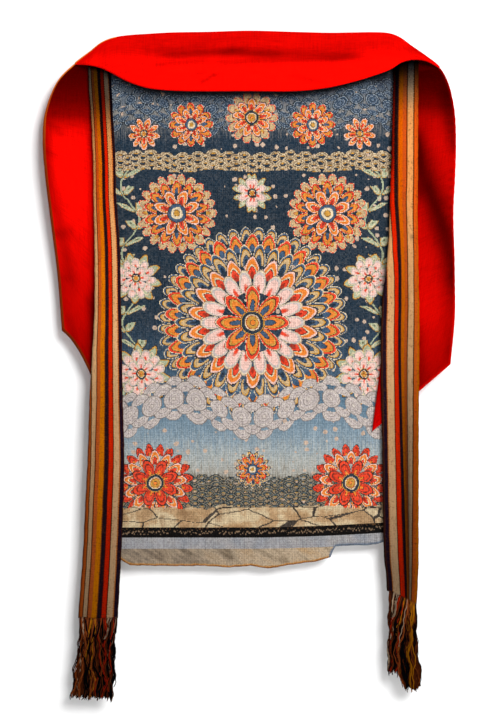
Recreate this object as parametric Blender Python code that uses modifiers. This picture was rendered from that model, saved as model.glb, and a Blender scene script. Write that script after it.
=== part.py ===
"""A hanging of woven silk: a picture panel, a red cover cloth drawn up over its top, and two
striped bands that hang from under the cover's flap, each ending in a yarn fringe.

Metres, +Z up. The origin is on the crest of the cover's top fold, the front faces -Y, and +X is to
the right as seen from the front.
"""

import math

import bmesh
import bpy
import numpy as np

# Driving dimensions
COVER_THICKNESS = 0.0018
PICTURE_THICKNESS = 0.0014
BAND_THICKNESS = 0.0014
SEWN_GAP = 0.0004  # between cloths that are sewn together
COVER_BACK_Y = 0.006  # middle of the cover's back layer
PICTURE_DROP_Y = 0.0021  # how far the picture hangs back of its sewn top
BAND_STRIP_Y = 0.0034  # middle of the strip turned under behind a band

# Steps between two sections of a table, and along each stretch of a section
SECTION_STEPS = 2
BACK_STEPS = 6
CREST_STEPS = 5
FRONT_STEPS = 9
HEM_STEPS = 4
TURN_UP_STEPS = 2

# The cover's tails. Each row is a section across the cloth, from a foot of a tail up to the flap's
# tip. outer_x, outer_z: the outer edge; inner_x, inner_z: the inner edge, which the bands hide;
# bow: how far the section's middle stands above the straight line; wave_y: how far the outer part
# stands back of the inner part.
LEFT_TAIL = [
    # outer_x, outer_z, inner_x, inner_z, bow, wave_y
    (-0.331, -0.525, -0.262, -0.650, 0.019, 0.0050),
    (-0.339, -0.425, -0.256, -0.540, 0.010, 0.0040),
    (-0.350, -0.335, -0.252, -0.420, 0.000, 0.0000),
    (-0.360, -0.250, -0.254, -0.310, 0.000, -0.0045),
    (-0.364, -0.190, -0.256, -0.220, 0.000, -0.0035),
    (-0.3595, -0.140, -0.258, -0.145, 0.000, 0.0010),
    (-0.3395, -0.0885, -0.257, -0.095, 0.000, 0.0015),
]
RIGHT_TAIL = [
    # outer_x, outer_z, inner_x, inner_z, bow, wave_y
    (0.350, -0.095, 0.268, -0.100, 0.000, 0.0015),
    (0.360, -0.140, 0.268, -0.150, 0.000, 0.0050),
    (0.362, -0.190, 0.267, -0.215, 0.000, 0.0020),
    (0.360, -0.250, 0.262, -0.290, 0.000, -0.0040),
    (0.357, -0.320, 0.256, -0.370, 0.000, -0.0030),
    (0.360, -0.415, 0.245, -0.470, 0.000, 0.0020),
    (0.360, -0.500, 0.229, -0.585, 0.000, 0.0035),
    (0.352, -0.584, 0.214, -0.702, 0.000, 0.0010),
]

# The flap. Each row is a section from the back layer's lower edge over the crest, down the front
# to the lower fold and up inside. crest_y: the front just below the crest; belly_y: the front just
# above the lower fold; turn_up: how far the cloth goes up inside.
FLAP = [
    # outer_x, outer_z, inner_x, inner_z, fold_x, fold_z, crest_y, belly_y, turn_up
    (-0.308, -0.056, -0.251, -0.066, -0.305, -0.0615, -0.0030, -0.0038, 0.0015),
    (-0.281, -0.036, -0.238, -0.060, -0.284, -0.061, -0.0040, -0.0100, 0.0060),
    (-0.262, -0.021, -0.225, -0.057, -0.262, -0.066, -0.0050, -0.0125, 0.0140),
    (-0.242, -0.0125, -0.210, -0.054, -0.241, -0.076, -0.0055, -0.0160, 0.0250),
    (-0.215, -0.008, -0.190, -0.052, -0.215, -0.090, -0.0060, -0.0185, 0.0400),
    (-0.180, -0.0055, -0.170, -0.050, -0.180, -0.102, -0.0060, -0.0200, 0.0500),
    (-0.135, -0.003, -0.135, -0.048, -0.135, -0.107, -0.0060, -0.0210, 0.0550),
    (-0.075, -0.002, -0.075, -0.046, -0.075, -0.108, -0.0060, -0.0200, 0.0550),
    (0.000, 0.000, 0.000, -0.046, 0.000, -0.108, -0.0060, -0.0220, 0.0550),
    (0.075, -0.002, 0.075, -0.046, 0.075, -0.108, -0.0060, -0.0205, 0.0550),
    (0.135, -0.0035, 0.135, -0.048, 0.132, -0.1025, -0.0060, -0.0215, 0.0550),
    (0.180, -0.003, 0.172, -0.050, 0.178, -0.092, -0.0060, -0.0200, 0.0450),
    (0.215, -0.0025, 0.198, -0.050, 0.214, -0.081, -0.0060, -0.0180, 0.0350),
    (0.242, -0.004, 0.215, -0.051, 0.243, -0.070, -0.0055, -0.0155, 0.0230),
    (0.262, -0.011, 0.228, -0.052, 0.264, -0.057, -0.0050, -0.0135, 0.0120),
    (0.283, -0.026, 0.240, -0.054, 0.285, -0.052, -0.0045, -0.0120, 0.0060),
    (0.308, -0.0435, 0.253, -0.058, 0.309, -0.0545, -0.0045, -0.0085, 0.0030),
    (0.333, -0.063, 0.264, -0.072, 0.329, -0.0670, -0.0030, -0.0038, 0.0015),
]
LARGEST_CREST_RADIUS = 0.005
LARGEST_HEM_RADIUS = 0.003
CREST_SHARE = 0.28  # a radius over the crest, as a share of the section's drop
HEM_SHARE = 0.20
FULL_AT = 0.80  # down the flap's front, where it stands furthest forward
FOOT_DRAW_IN = 0.06  # of its fullness, from there to the lower fold
TROUGH_AT = 0.40  # down the flap's front, where a soft trough runs across
TROUGH_WIDTH = 0.15
TROUGH_DEPTH = 0.0045
TROUGH_HALF_LENGTH = 0.150
TROUGH_FADE = 0.060
FLAT_SHARE = 0.25  # of a section of the back layer, beside its inner edge

# The picture's outline. Its sides are rows from top to bottom, and its torn foot is rows from left
# to right.
PICTURE_SIDES = [
    # z, left_x, right_x
    (-0.022, -0.252, 0.256),
    (-0.250, -0.249, 0.254),
    (-0.500, -0.245, 0.252),
    (-0.750, -0.241, 0.249),
    (-0.930, -0.238, 0.247),
]
PICTURE_FOOT = [
    # x, z
    (-0.238, -0.915),
    (-0.225, -0.929),
    (-0.212, -0.937),
    (-0.170, -0.938),
    (-0.125, -0.9385),
    (-0.080, -0.938),
    (-0.036, -0.941),
    (0.000, -0.938),
    (0.033, -0.943),
    (0.067, -0.937),
    (0.095, -0.933),
    (0.118, -0.930),
    (0.134, -0.925),
    (0.142, -0.922),
    (0.148, -0.904),
    (0.175, -0.902),
    (0.201, -0.902),
    (0.223, -0.900),
    (0.235, -0.895),
    (0.247, -0.893),
]
PICTURE_ROWS = 26
PICTURE_SEWN = 0.030  # the stretch below its top that is held flat
PICTURE_EASE = 0.120  # the stretch over which it comes free below that
PICTURE_SWELL = 0.0010  # how far the soft waves stand out of its plane
PICTURE_RIPPLE = 0.0006  # and the short upright waves near its foot
RIPPLE_FROM = -0.750
RIPPLE_RISE = 0.180
SWELL_WAVES = (0.70, 0.48)  # lengths across and down
RIPPLE_WAVE = 0.20

# The bands. Each row is a section across: left_x and right_x are the edges as seen from the front,
# strip: how much is turned under at the left; turn: through how many degrees; curl_y: how far the
# middle stands forward of the edges; gutter_y: how deep a lengthwise crease runs near the right.
LEFT_BAND = [
    # z, left_x, right_x, strip, turn, curl_y, gutter_y
    (-0.040, -0.284, -0.247, 0.0060, 180, 0.0010, 0.0000),
    (-0.100, -0.282, -0.243, 0.0060, 180, 0.0015, 0.0000),
    (-0.150, -0.278, -0.2405, 0.0060, 180, 0.0020, 0.0000),
    (-0.230, -0.2745, -0.236, 0.0060, 180, 0.0020, 0.0000),
    (-0.300, -0.274, -0.2345, 0.0055, 180, 0.0020, 0.0000),
    (-0.385, -0.272, -0.228, 0.0055, 175, 0.0020, 0.0000),
    (-0.485, -0.272, -0.226, 0.0050, 165, 0.0020, 0.0000),
    (-0.565, -0.276, -0.224, 0.0045, 140, 0.0018, 0.0000),
    (-0.645, -0.281, -0.223, 0.0030, 100, 0.0015, 0.0000),
    (-0.750, -0.284, -0.220, 0.0025, 80, 0.0015, 0.0000),
    (-0.830, -0.288, -0.222, 0.0025, 75, 0.0015, 0.0000),
    (-0.915, -0.292, -0.2255, 0.0025, 70, 0.0015, 0.0000),
    (-1.030, -0.300, -0.2315, 0.0025, 60, 0.0010, 0.0000),
]
RIGHT_BAND = [
    # z, left_x, right_x, strip, turn, curl_y, gutter_y
    (-0.034, 0.252, 0.295, 0.0160, 180, 0.0010, 0.0000),
    (-0.140, 0.250, 0.294, 0.0160, 180, 0.0015, 0.0000),
    (-0.250, 0.247, 0.2935, 0.0160, 180, 0.0018, 0.0000),
    (-0.300, 0.245, 0.293, 0.0150, 180, 0.0018, 0.0000),
    (-0.345, 0.244, 0.2935, 0.0125, 175, 0.0015, 0.0000),
    (-0.385, 0.2415, 0.294, 0.0090, 150, 0.0015, 0.0000),
    (-0.425, 0.2375, 0.2945, 0.0060, 110, 0.0015, 0.0000),
    (-0.475, 0.233, 0.296, 0.0030, 60, 0.0015, 0.0000),
    (-0.560, 0.231, 0.296, 0.0025, 40, 0.0015, 0.0005),
    (-0.690, 0.233, 0.2955, 0.0025, 40, 0.0015, 0.0015),
    (-0.820, 0.2345, 0.295, 0.0025, 45, 0.0015, 0.0025),
    (-0.910, 0.236, 0.295, 0.0025, 50, 0.0015, 0.0030),
    (-0.960, 0.2405, 0.293, 0.0025, 55, 0.0012, 0.0025),
    (-1.010, 0.2425, 0.2905, 0.0025, 60, 0.0010, 0.0010),
]
# The z of each band's slanted top and woven end at its left and right edges
LEFT_BAND_ENDS = {"top": (-0.050, -0.040), "foot": (-1.028, -1.028)}
RIGHT_BAND_ENDS = {"top": (-0.034, -0.045), "foot": (-0.981, -1.004)}
BAND_ROWS = 30
STRIP_STEPS = 2
TURN_STEPS = 4
FACE_STEPS = 7
TURN_RADIUS = 0.0015
GUTTER_AT = 0.76  # across a band's face
GUTTER_WIDTH = 0.09
BAND_WAVE_Y = 0.0012  # how far a band's slow waves stand forward
BAND_WAVE_LENGTH = 0.290
BAND_FREE_FROM = -0.100
BAND_FREE_RISE = 0.100
BAND_PHASES = {"left": 0.6, "right": 2.1}

# The fringes. tip_x: the leftmost and rightmost tips; tips: rows of (share of the way across, z)
LEFT_FRINGE = {
    "strands": 22,
    "tip_x": (-0.3185, -0.2400),
    "tips": [(0.0, -1.169), (0.5, -1.168), (1.0, -1.173)],
}
RIGHT_FRINGE = {
    "strands": 18,
    "tip_x": (0.2400, 0.3010),
    "tips": [(0.0, -1.124), (0.38, -1.127), (0.43, -1.152), (0.8, -1.158), (1.0, -1.151)],
}
FRINGE_GAP = 0.0003
BACKING_HEIGHT = 0.005
BACKING_THICKNESS = 0.0026
ROOT_DEPTH = 0.6  # of the backing's height, from its foot up to where the strands start
TIP_JITTER = 0.002
JITTER_TURN = 2.4  # from one strand's tip to the next, in radians
STRAND_RADIUS = 0.0020
ROOT_SHARE = 0.55  # a strand's radius at its root, as a share of its full radius
TIP_SHARE = 0.8
LOOSE_FROM = 0.25  # down a strand, where it has come apart from its neighbours
ROOT_Y = 0.0006  # front and back strands, to each side of the backing's middle
LAYER_Y = 0.0027
STRAND_STEPS = 7
STRAND_SWAY = 0.0018
STRAND_LAG = 0.25  # of the wave from one strand to the next, in radians
STRAND_WAVE_LENGTH = 0.105

COLOURS = {
    "cover_cloth": (0.83, 0.01, 0.005),
    "picture_panel": (0.24, 0.22, 0.19),
    "band_left": (0.52, 0.24, 0.09),
    "band_right": (0.52, 0.24, 0.09),
    "fringe_left": (0.22, 0.08, 0.03),
    "fringe_right": (0.25, 0.09, 0.03),
}
CLOTH_ROUGHNESS = 0.85


def clear_scene():
    for obj in list(bpy.data.objects):
        bpy.data.objects.remove(obj, do_unlink=True)


def new_collection(name):
    collection = bpy.data.collections.new(name)
    bpy.context.scene.collection.children.link(collection)
    return collection


def cloth_material(name):
    material = bpy.data.materials.new(name)
    material.use_nodes = True
    shader = material.node_tree.nodes["Principled BSDF"]
    shader.inputs["Base Color"].default_value = (*COLOURS[name], 1.0)
    shader.inputs["Roughness"].default_value = CLOTH_ROUGHNESS
    shader.inputs["Metallic"].default_value = 0.0
    return material


def smooth_rows(rows, steps):
    """The rows of a table with more between them, on a smooth curve through them all."""
    table = np.array(rows, float)
    padded = np.vstack([2 * table[0] - table[1], table, 2 * table[-1] - table[-2]])
    t = np.linspace(0.0, 1.0, steps, endpoint=False)[:, None]
    stretches = []
    for before, here, after, beyond in zip(padded, padded[1:], padded[2:], padded[3:]):
        slope = (after - before) * t
        bend = (2 * before - 5 * here + 4 * after - beyond) * t**2
        twist = (3 * here - before - 3 * after + beyond) * t**3
        stretches.append(0.5 * (2 * here + slope + bend + twist))
    return np.vstack([*stretches, table[-1:]])


def ease(value):
    """0 up to 0, 1 from 1, and a smooth rise between."""
    value = np.clip(value, 0.0, 1.0)
    return value * value * (3.0 - 2.0 * value)


def new_object(name, mesh, collection):
    obj = bpy.data.objects.new(name, mesh)
    collection.objects.link(obj)
    return obj


def sheet(name, points, thickness, collection, keep=None):
    """A cloth through points[column][row], with its thickness to both sides.

    keep(column, row) says whether the face that starts at that point is part of the cloth.
    """
    columns, rows = points.shape[0] - 1, points.shape[1] - 1
    bm = bmesh.new()
    bmesh.ops.create_grid(bm, x_segments=columns, y_segments=rows, size=1.0)
    places = {}
    for vert in bm.verts:
        column = round((vert.co.x + 1.0) / 2.0 * columns)
        row = round((vert.co.y + 1.0) / 2.0 * rows)
        places[vert] = (column, row)
    if keep:
        left_out = []
        for face in bm.faces:
            column = min(places[vert][0] for vert in face.verts)
            row = min(places[vert][1] for vert in face.verts)
            if not keep(column, row):
                left_out.append(face)
        bmesh.ops.delete(bm, geom=left_out, context="FACES")
    for vert in bm.verts:
        vert.co = points[places[vert]]
    mesh = bpy.data.meshes.new(name)
    bm.to_mesh(mesh)
    bm.free()
    mesh.shade_smooth()
    obj = new_object(name, mesh, collection)
    solidify = obj.modifiers.new("cloth", "SOLIDIFY")
    solidify.thickness = thickness
    solidify.offset = 0.0
    solidify.use_even_offset = True
    return obj


def outward(outline):
    """The unit vector in X and Z that points out of the cover at each point of its outline."""
    along = np.gradient(outline, axis=0)
    normal = np.stack([-along[:, 1], along[:, 0]], axis=1)
    return normal / np.linalg.norm(normal, axis=1, keepdims=True)


def back_layer(edge, inner, bow, wave_y):
    """Points of one section of the back layer, from its inner edge out to edge."""
    points = []
    for t in np.linspace(0.0, 1.0, BACK_STEPS + 1):
        x, z = inner + (edge - inner) * t
        z += bow * 4.0 * t * (1.0 - t)
        y = COVER_BACK_Y + wave_y * ease((t - FLAT_SHARE) / (1.0 - FLAT_SHARE))
        points.append((x, y, z))
    return points


def flap_section(row, crest_point, normal):
    """Points of one section of the flap: over the crest, down the front and up inside."""
    fold = row[4:6]
    crest_y, belly_y, turn_up = row[6:9]
    drop = np.linalg.norm(crest_point - fold)
    crest_radius = min(LARGEST_CREST_RADIUS, CREST_SHARE * drop)
    hem_radius = min(LARGEST_HEM_RADIUS, HEM_SHARE * drop)
    up = (crest_point - fold) / drop
    start = crest_point - normal * crest_radius
    end = fold + up * hem_radius
    middle_y = (COVER_BACK_Y + crest_y) / 2.0
    half_depth = (COVER_BACK_Y - crest_y) / 2.0
    points = []
    for step in range(1, CREST_STEPS + 1):
        angle = math.pi * step / CREST_STEPS
        x, z = start + normal * crest_radius * math.sin(angle)
        points.append((x, middle_y + half_depth * math.cos(angle), z))

    def front(share):
        x, z = start + (end - start) * share
        below = (share - FULL_AT) / (1.0 - FULL_AT)
        fullness = ease(share / FULL_AT) - FOOT_DRAW_IN * ease(below)
        y = crest_y + (belly_y - crest_y) * fullness
        trough = math.exp(-(((share - TROUGH_AT) / TROUGH_WIDTH) ** 2))
        reach = ease((TROUGH_HALF_LENGTH - abs(x)) / TROUGH_FADE + 0.5)
        return x, y + TROUGH_DEPTH * trough * reach, z

    for step in range(1, FRONT_STEPS + 1):
        points.append(front(step / FRONT_STEPS))
    low_y = points[-1][1]
    for step in range(1, HEM_STEPS + 1):
        angle = math.pi * step / HEM_STEPS
        x, z = end - up * hem_radius * math.sin(angle)
        points.append((x, low_y + hem_radius * (1.0 - math.cos(angle)), z))
    for step in range(1, TURN_UP_STEPS + 1):
        rise = turn_up * step / TURN_UP_STEPS
        x, z = end + up * rise
        inside_y = front(1.0 - rise / np.linalg.norm(start - end))[1]
        points.append((x, inside_y + 2.0 * hem_radius, z))
    return points


def make_cover(collection):
    """One cloth: the left tail, the flap with its back layer, and the right tail."""
    flap_edges = [(*row[:4], 0.0, 0.0) for row in FLAP]
    edges = smooth_rows(LEFT_TAIL + flap_edges + RIGHT_TAIL, SECTION_STEPS)
    flap = smooth_rows(FLAP, SECTION_STEPS)
    first = SECTION_STEPS * len(LEFT_TAIL)
    last = first + len(flap) - 1
    normals = outward(edges[:, :2])
    flap_rows = CREST_STEPS + FRONT_STEPS + HEM_STEPS + TURN_UP_STEPS
    sections = []
    for column, row in enumerate(edges):
        edge, inner, bow, wave_y = row[:2], row[2:4], row[4], row[5]
        if first <= column <= last:
            own = flap[column - first]
            drop = np.linalg.norm(edge - own[4:6])
            crest_radius = min(LARGEST_CREST_RADIUS, CREST_SHARE * drop)
            shoulder = edge - normals[column] * crest_radius
            section = back_layer(shoulder, inner, bow, wave_y)
            section += flap_section(own, edge, normals[column])
        else:
            section = back_layer(edge, inner, bow, wave_y)
            section += [section[-1]] * flap_rows
        sections.append(section)

    def keep(column, row):
        return row < BACK_STEPS or first <= column < last

    return sheet("cover_cloth", np.array(sections), COVER_THICKNESS, collection, keep)


def make_picture(collection):
    """The picture panel, sewn behind the cover's back layer and hanging to its torn foot."""
    sides = np.array(PICTURE_SIDES)[::-1]
    foot = np.array(PICTURE_FOOT)
    top_z = PICTURE_SIDES[0][0]
    sewn_y = COVER_BACK_Y + (COVER_THICKNESS + PICTURE_THICKNESS) / 2.0 + SEWN_GAP
    span = (foot[:, 0] - foot[0, 0]) / (foot[-1, 0] - foot[0, 0])
    columns = []
    for share, (_, foot_z) in zip(span, foot):
        points = []
        for step in range(PICTURE_ROWS + 1):
            down = step / PICTURE_ROWS
            z = top_z + (foot_z - top_z) * down
            left, right = (np.interp(z, sides[:, 0], sides[:, k]) for k in (1, 2))
            x = left + (right - left) * share
            loose = ease((top_z - PICTURE_SEWN - z) / PICTURE_EASE)
            across, along = math.tau * x / SWELL_WAVES[0], math.tau * z / SWELL_WAVES[1]
            swell = PICTURE_SWELL * math.sin(across + along / 3.0) * math.cos(along - across / 2.0)
            low = ease((RIPPLE_FROM - z) / RIPPLE_RISE)
            ripple = PICTURE_RIPPLE * low * math.sin(math.tau * x / RIPPLE_WAVE)
            points.append((x, sewn_y + loose * (PICTURE_DROP_Y + swell + ripple), z))
        columns.append(points)
    return sheet("picture_panel", np.array(columns), PICTURE_THICKNESS, collection)


def band_section(row):
    """Points of one section of a band in X and Y, from the turned-under strip to the right edge."""
    left, right, strip, turn, curl_y, gutter_y = row
    angle = math.radians(turn)
    # The face starts where the turn ends, and the turn's outermost point is the seen left edge.
    outermost = TURN_RADIUS * (1.0 if turn > 90.0 else math.sin(angle))
    face_left = left + outermost
    points = []
    for step in range(STRIP_STEPS):
        along = strip * (1.0 - step / STRIP_STEPS)
        x = face_left - TURN_RADIUS * math.sin(angle) - along * math.cos(angle)
        y = TURN_RADIUS * (1.0 - math.cos(angle)) + along * math.sin(angle)
        points.append((x, y))
    for step in range(TURN_STEPS + 1):
        here = angle * (1.0 - step / TURN_STEPS)
        x = face_left - TURN_RADIUS * math.sin(here)
        y = TURN_RADIUS * (1.0 - math.cos(here))
        points.append((x, y))
    for step in range(1, FACE_STEPS + 1):
        across = step / FACE_STEPS
        x = face_left + (right - face_left) * across
        curl = -curl_y * 4.0 * across * (1.0 - across)
        gutter = gutter_y * math.exp(-(((across - GUTTER_AT) / GUTTER_WIDTH) ** 2))
        points.append((x, curl + gutter))
    return points


def make_band(name, table, ends, phase, collection):
    """A woven band from under the flap to its woven end. Returns it and its foot's points."""
    rows = smooth_rows(table, SECTION_STEPS)[::-1]
    lines = []
    for step in range(BAND_ROWS + 1):
        down = step / BAND_ROWS
        level = ends["top"][0] + (ends["foot"][0] - ends["top"][0]) * down
        own = [np.interp(level, rows[:, 0], rows[:, k]) for k in range(1, rows.shape[1])]
        wave = BAND_WAVE_Y * (1.0 - math.cos(math.tau * level / BAND_WAVE_LENGTH + phase))
        section = band_section(own)
        deepest = max(y for _, y in section)
        free = ease((BAND_FREE_FROM - level) / BAND_FREE_RISE)
        base_y = BAND_STRIP_Y - deepest - wave * free
        line = []
        for x, y in section:
            across = np.clip((x - own[0]) / (own[1] - own[0]), 0.0, 1.0)
            top_z = ends["top"][0] + (ends["top"][1] - ends["top"][0]) * across
            foot_z = ends["foot"][0] + (ends["foot"][1] - ends["foot"][0]) * across
            line.append((x, base_y + y, top_z + (foot_z - top_z) * down))
        lines.append(line)
    points = np.array(lines).transpose(1, 0, 2)
    return sheet(name, points, BAND_THICKNESS, collection), points[STRIP_STEPS:, -1]


def strand_tubes(name, roots, tips, collection):
    """The fringe's strands as one mesh of four-sided tubes, in a front and a back layer."""
    curve = bpy.data.curves.new(name, "CURVE")
    curve.dimensions = "3D"
    curve.bevel_depth = STRAND_RADIUS
    curve.bevel_resolution = 0
    curve.use_fill_caps = True
    for number, (root, tip) in enumerate(zip(roots, tips)):
        side = 1.0 if number % 2 else -1.0
        spline = curve.splines.new("POLY")
        spline.points.add(STRAND_STEPS)
        for step in range(STRAND_STEPS + 1):
            down = step / STRAND_STEPS
            loose = ease(down / LOOSE_FROM)
            place = root + (tip - root) * down
            place[1] = root[1] + (tip[1] - root[1]) * loose
            turn = math.tau * (place[2] - root[2]) / STRAND_WAVE_LENGTH
            place[0] += side * STRAND_SWAY * loose**3 * math.sin(turn + STRAND_LAG * number)
            place[1] += side * (ROOT_Y + (LAYER_Y - ROOT_Y) * loose)
            spline.points[step].co = (*place, 1.0)
            taper = 1.0 - (1.0 - TIP_SHARE) * down
            spline.points[step].radius = taper * (ROOT_SHARE + (1.0 - ROOT_SHARE) * loose)
    guide = new_object(name + "_guide", curve, collection)
    graph = bpy.context.evaluated_depsgraph_get()
    mesh = bpy.data.meshes.new_from_object(guide.evaluated_get(graph))
    bpy.data.objects.remove(guide, do_unlink=True)
    bm = bmesh.new()
    bm.from_mesh(mesh)
    bmesh.ops.remove_doubles(bm, verts=bm.verts, dist=0.00002)
    bm.to_mesh(mesh)
    bm.free()
    obj = new_object(name, mesh, collection)
    obj.hide_render = True
    obj.display_type = "WIRE"
    return obj


def make_fringe(name, fringe, foot, collection, cutters):
    """The yarns below a band's woven end, their roots fused into a narrow backing."""
    order = np.argsort(foot[:, 0])
    foot = foot[order]
    top = foot - (0.0, 0.0, FRINGE_GAP)
    bottom = top - (0.0, 0.0, BACKING_HEIGHT)
    points = np.stack([bottom, top], axis=1)
    backing = sheet(name, points, BACKING_THICKNESS, collection)
    count = fringe["strands"]
    shares = (np.arange(count) + 0.5) / count
    root_x = foot[0, 0] + (foot[-1, 0] - foot[0, 0]) * shares
    roots = np.stack(
        [root_x]
        + [np.interp(root_x, foot[:, 0], (top if k == 2 else foot)[:, k]) for k in (1, 2)],
        axis=1,
    )
    roots[:, 2] -= BACKING_HEIGHT * (1.0 - ROOT_DEPTH)
    tip_left, tip_right = fringe["tip_x"]
    tips = roots.copy()
    tips[:, 1] = foot[:, 1].mean()
    tips[:, 0] = tip_left + (tip_right - tip_left) * shares
    levels = np.array(fringe["tips"])
    tips[:, 2] = np.interp(shares, levels[:, 0], levels[:, 1])
    tips[:, 2] += TIP_JITTER * np.sin(np.arange(count) * JITTER_TURN)
    strands = strand_tubes(name + "_strands", roots, tips, cutters)
    union = backing.modifiers.new("roots", "BOOLEAN")
    union.operation = "UNION"
    union.solver = "EXACT"
    union.object = strands
    return backing


def main():
    clear_scene()
    collection = new_collection("thangka_scroll_painting")
    cutters = new_collection("cutters")
    pieces = [make_cover(collection), make_picture(collection)]
    for side, table, ends, fringe in (
        ("left", LEFT_BAND, LEFT_BAND_ENDS, LEFT_FRINGE),
        ("right", RIGHT_BAND, RIGHT_BAND_ENDS, RIGHT_FRINGE),
    ):
        band, foot = make_band("band_" + side, table, ends, BAND_PHASES[side], collection)
        pieces.append(band)
        pieces.append(make_fringe("fringe_" + side, fringe, foot, collection, cutters))
    for piece in pieces:
        piece.data.materials.append(cloth_material(piece.name))


if __name__ == "__main__":
    main()
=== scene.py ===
"""The looks of a hanging of woven silk.

A figured silk panel hangs behind a red silk cover, which is drawn up over its top. Two striped wool
bands come out from under the cover's flap and end in fringes of their own warp yarns.

Every length is in metres, in the frame of the solids: +Z up, the front towards -Y, the origin on
the crest of the cover's top fold. Patterns count in millimetres, because threads do.
"""

from __future__ import annotations

import logging
import math
from collections.abc import Callable
from dataclasses import dataclass
from enum import Enum

import bpy
import numpy as np
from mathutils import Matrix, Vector

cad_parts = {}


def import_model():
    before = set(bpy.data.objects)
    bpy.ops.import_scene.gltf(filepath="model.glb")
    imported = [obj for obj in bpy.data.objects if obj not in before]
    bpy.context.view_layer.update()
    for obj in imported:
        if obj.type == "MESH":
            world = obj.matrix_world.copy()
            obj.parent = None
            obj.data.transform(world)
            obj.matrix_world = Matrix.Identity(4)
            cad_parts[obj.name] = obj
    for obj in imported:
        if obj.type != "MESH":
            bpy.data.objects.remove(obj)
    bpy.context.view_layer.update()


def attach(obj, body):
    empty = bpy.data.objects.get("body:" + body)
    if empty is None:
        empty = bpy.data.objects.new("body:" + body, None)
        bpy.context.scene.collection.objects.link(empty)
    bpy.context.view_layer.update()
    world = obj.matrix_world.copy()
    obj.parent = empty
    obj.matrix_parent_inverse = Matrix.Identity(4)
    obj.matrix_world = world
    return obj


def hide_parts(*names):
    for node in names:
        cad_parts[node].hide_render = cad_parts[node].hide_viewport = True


LOG = logging.getLogger("hanging")
BODY = "root"
MM = 1000.0
Socket = bpy.types.NodeSocket
# The setting that follows the dot in a node's kind.
OPTIONS = {
    "Math": "operation",
    "VectorMath": "operation",
    "Mix": "data_type",
    "TexWhiteNoise": "noise_dimensions",
}
# The kind of socket that carries each type into a group of nodes or out of it.
CARRIERS = {"VALUE": "NodeSocketFloat", "VECTOR": "NodeSocketVector", "RGBA": "NodeSocketColor"}


class Held(str, Enum):
    """How a cloth is held."""

    HUNG = "hung"
    DRAPED = "draped"


class Side(Enum):
    """A side of the hanging, as seen from the front."""

    LEFT = -1
    RIGHT = 1


class Dye(str, Enum):
    """The colours of the silks and wools, as sRGB hex."""

    NAVY = "#182B3C"
    STEEL = "#3A536E"
    CREAM = "#DCC7A4"
    LILAC = "#BFB3AE"
    STONE = "#8C7D70"
    OUTLINE = "#2C211E"
    VERMILION = "#DE3D1F"
    BRICK = "#9E2C1A"
    ORANGE = "#E07C2A"
    OCHRE = "#C48E38"
    PINK = "#E9BFB2"
    ROSE = "#D97A68"
    TAN = "#C6A678"
    SAGE = "#A3AB8C"
    OLIVE = "#4E4C34"
    # Near black, used only for the painted shadow under the flap.
    PAINTED_SHADOW = "#110F12"


def linear(colour: str) -> tuple[float, float, float, float]:
    """Turn an sRGB hex colour into linear light.

    Args:
        colour: Six hex digits after a hash.

    Returns:
        Red, green, blue and full alpha.
    """
    parts = [int(colour[k : k + 2], 16) / 255.0 for k in (1, 3, 5)]
    light = [c / 12.92 if c <= 0.04045 else ((c + 0.055) / 1.055) ** 2.4 for c in parts]
    return (*light, 1.0)


def ease(value: np.ndarray | float) -> np.ndarray | float:
    """Rise smoothly from 0 at 0 to 1 at 1.

    Args:
        value: Where on the rise, clipped to its two ends.

    Returns:
        The height there.
    """
    value = np.clip(value, 0.0, 1.0)
    return value * value * (3.0 - 2.0 * value)


def smooth_rows(rows: list | tuple, steps: int) -> np.ndarray:
    """Put more rows into a table, on a smooth curve through those it has.

    Args:
        rows: The table.
        steps: Steps from one row to the next.

    Returns:
        The finer table.
    """
    table = np.array(rows, float)
    padded = np.vstack([2 * table[0] - table[1], table, 2 * table[-1] - table[-2]])
    t = np.linspace(0.0, 1.0, steps, endpoint=False)[:, None]
    stretches = []
    for before, here, after, beyond in zip(padded, padded[1:], padded[2:], padded[3:]):
        slope = (after - before) * t
        bend = (2 * before - 5 * here + 4 * after - beyond) * t**2
        twist = (3 * here - before - 3 * after + beyond) * t**3
        stretches.append(0.5 * (2 * here + slope + bend + twist))
    return np.vstack([*stretches, table[-1:]])


def uneven(place: np.ndarray | float, length: float, seed: float) -> np.ndarray | float:
    """Wander between about -1 and 1, as a line made by hand does.

    Args:
        place: Where along the line.
        length: The length of its longest waves.
        seed: Which wandering line.

    Returns:
        How far off the line stands.
    """
    turn = math.tau * np.asarray(place) / length
    long_wave = np.sin(turn + seed) * 0.5
    short_waves = np.sin(turn * 2.3 + seed * 1.7) * 0.3 + np.sin(turn * 5.1 + seed * 2.9) * 0.2
    return long_wave + short_waves


def distance_to_line(points: np.ndarray, line: np.ndarray) -> np.ndarray:
    """Measure how far points are from a line, seen from the front.

    Args:
        points: Points in X, Y, Z, in any grid.
        line: The line's points in X, Y, Z.

    Returns:
        The distances in X and Z, in the points' grid.
    """
    flat = points[..., [0, 2]]
    start, end = line[:-1][:, [0, 2]], line[1:][:, [0, 2]]
    best = np.full(flat.shape[:-1], np.inf)
    for here, there in zip(start, end):
        along = there - here
        share = ((flat - here) @ along) / max(along @ along, 1e-12)
        nearest = here + np.clip(share, 0.0, 1.0)[..., None] * along
        best = np.minimum(best, np.linalg.norm(flat - nearest, axis=-1))
    return best


def lengths_along(points: np.ndarray, axis: int) -> np.ndarray:
    """Add up the steps between points along one axis of their grid.

    Args:
        points: A grid of points.
        axis: The axis to walk along.

    Returns:
        The length walked to each point.
    """
    steps = np.linalg.norm(np.diff(points, axis=axis), axis=-1)
    start = np.zeros_like(np.take(steps, [0], axis=axis))
    return np.concatenate([start, np.cumsum(steps, axis=axis)], axis=axis)


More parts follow.
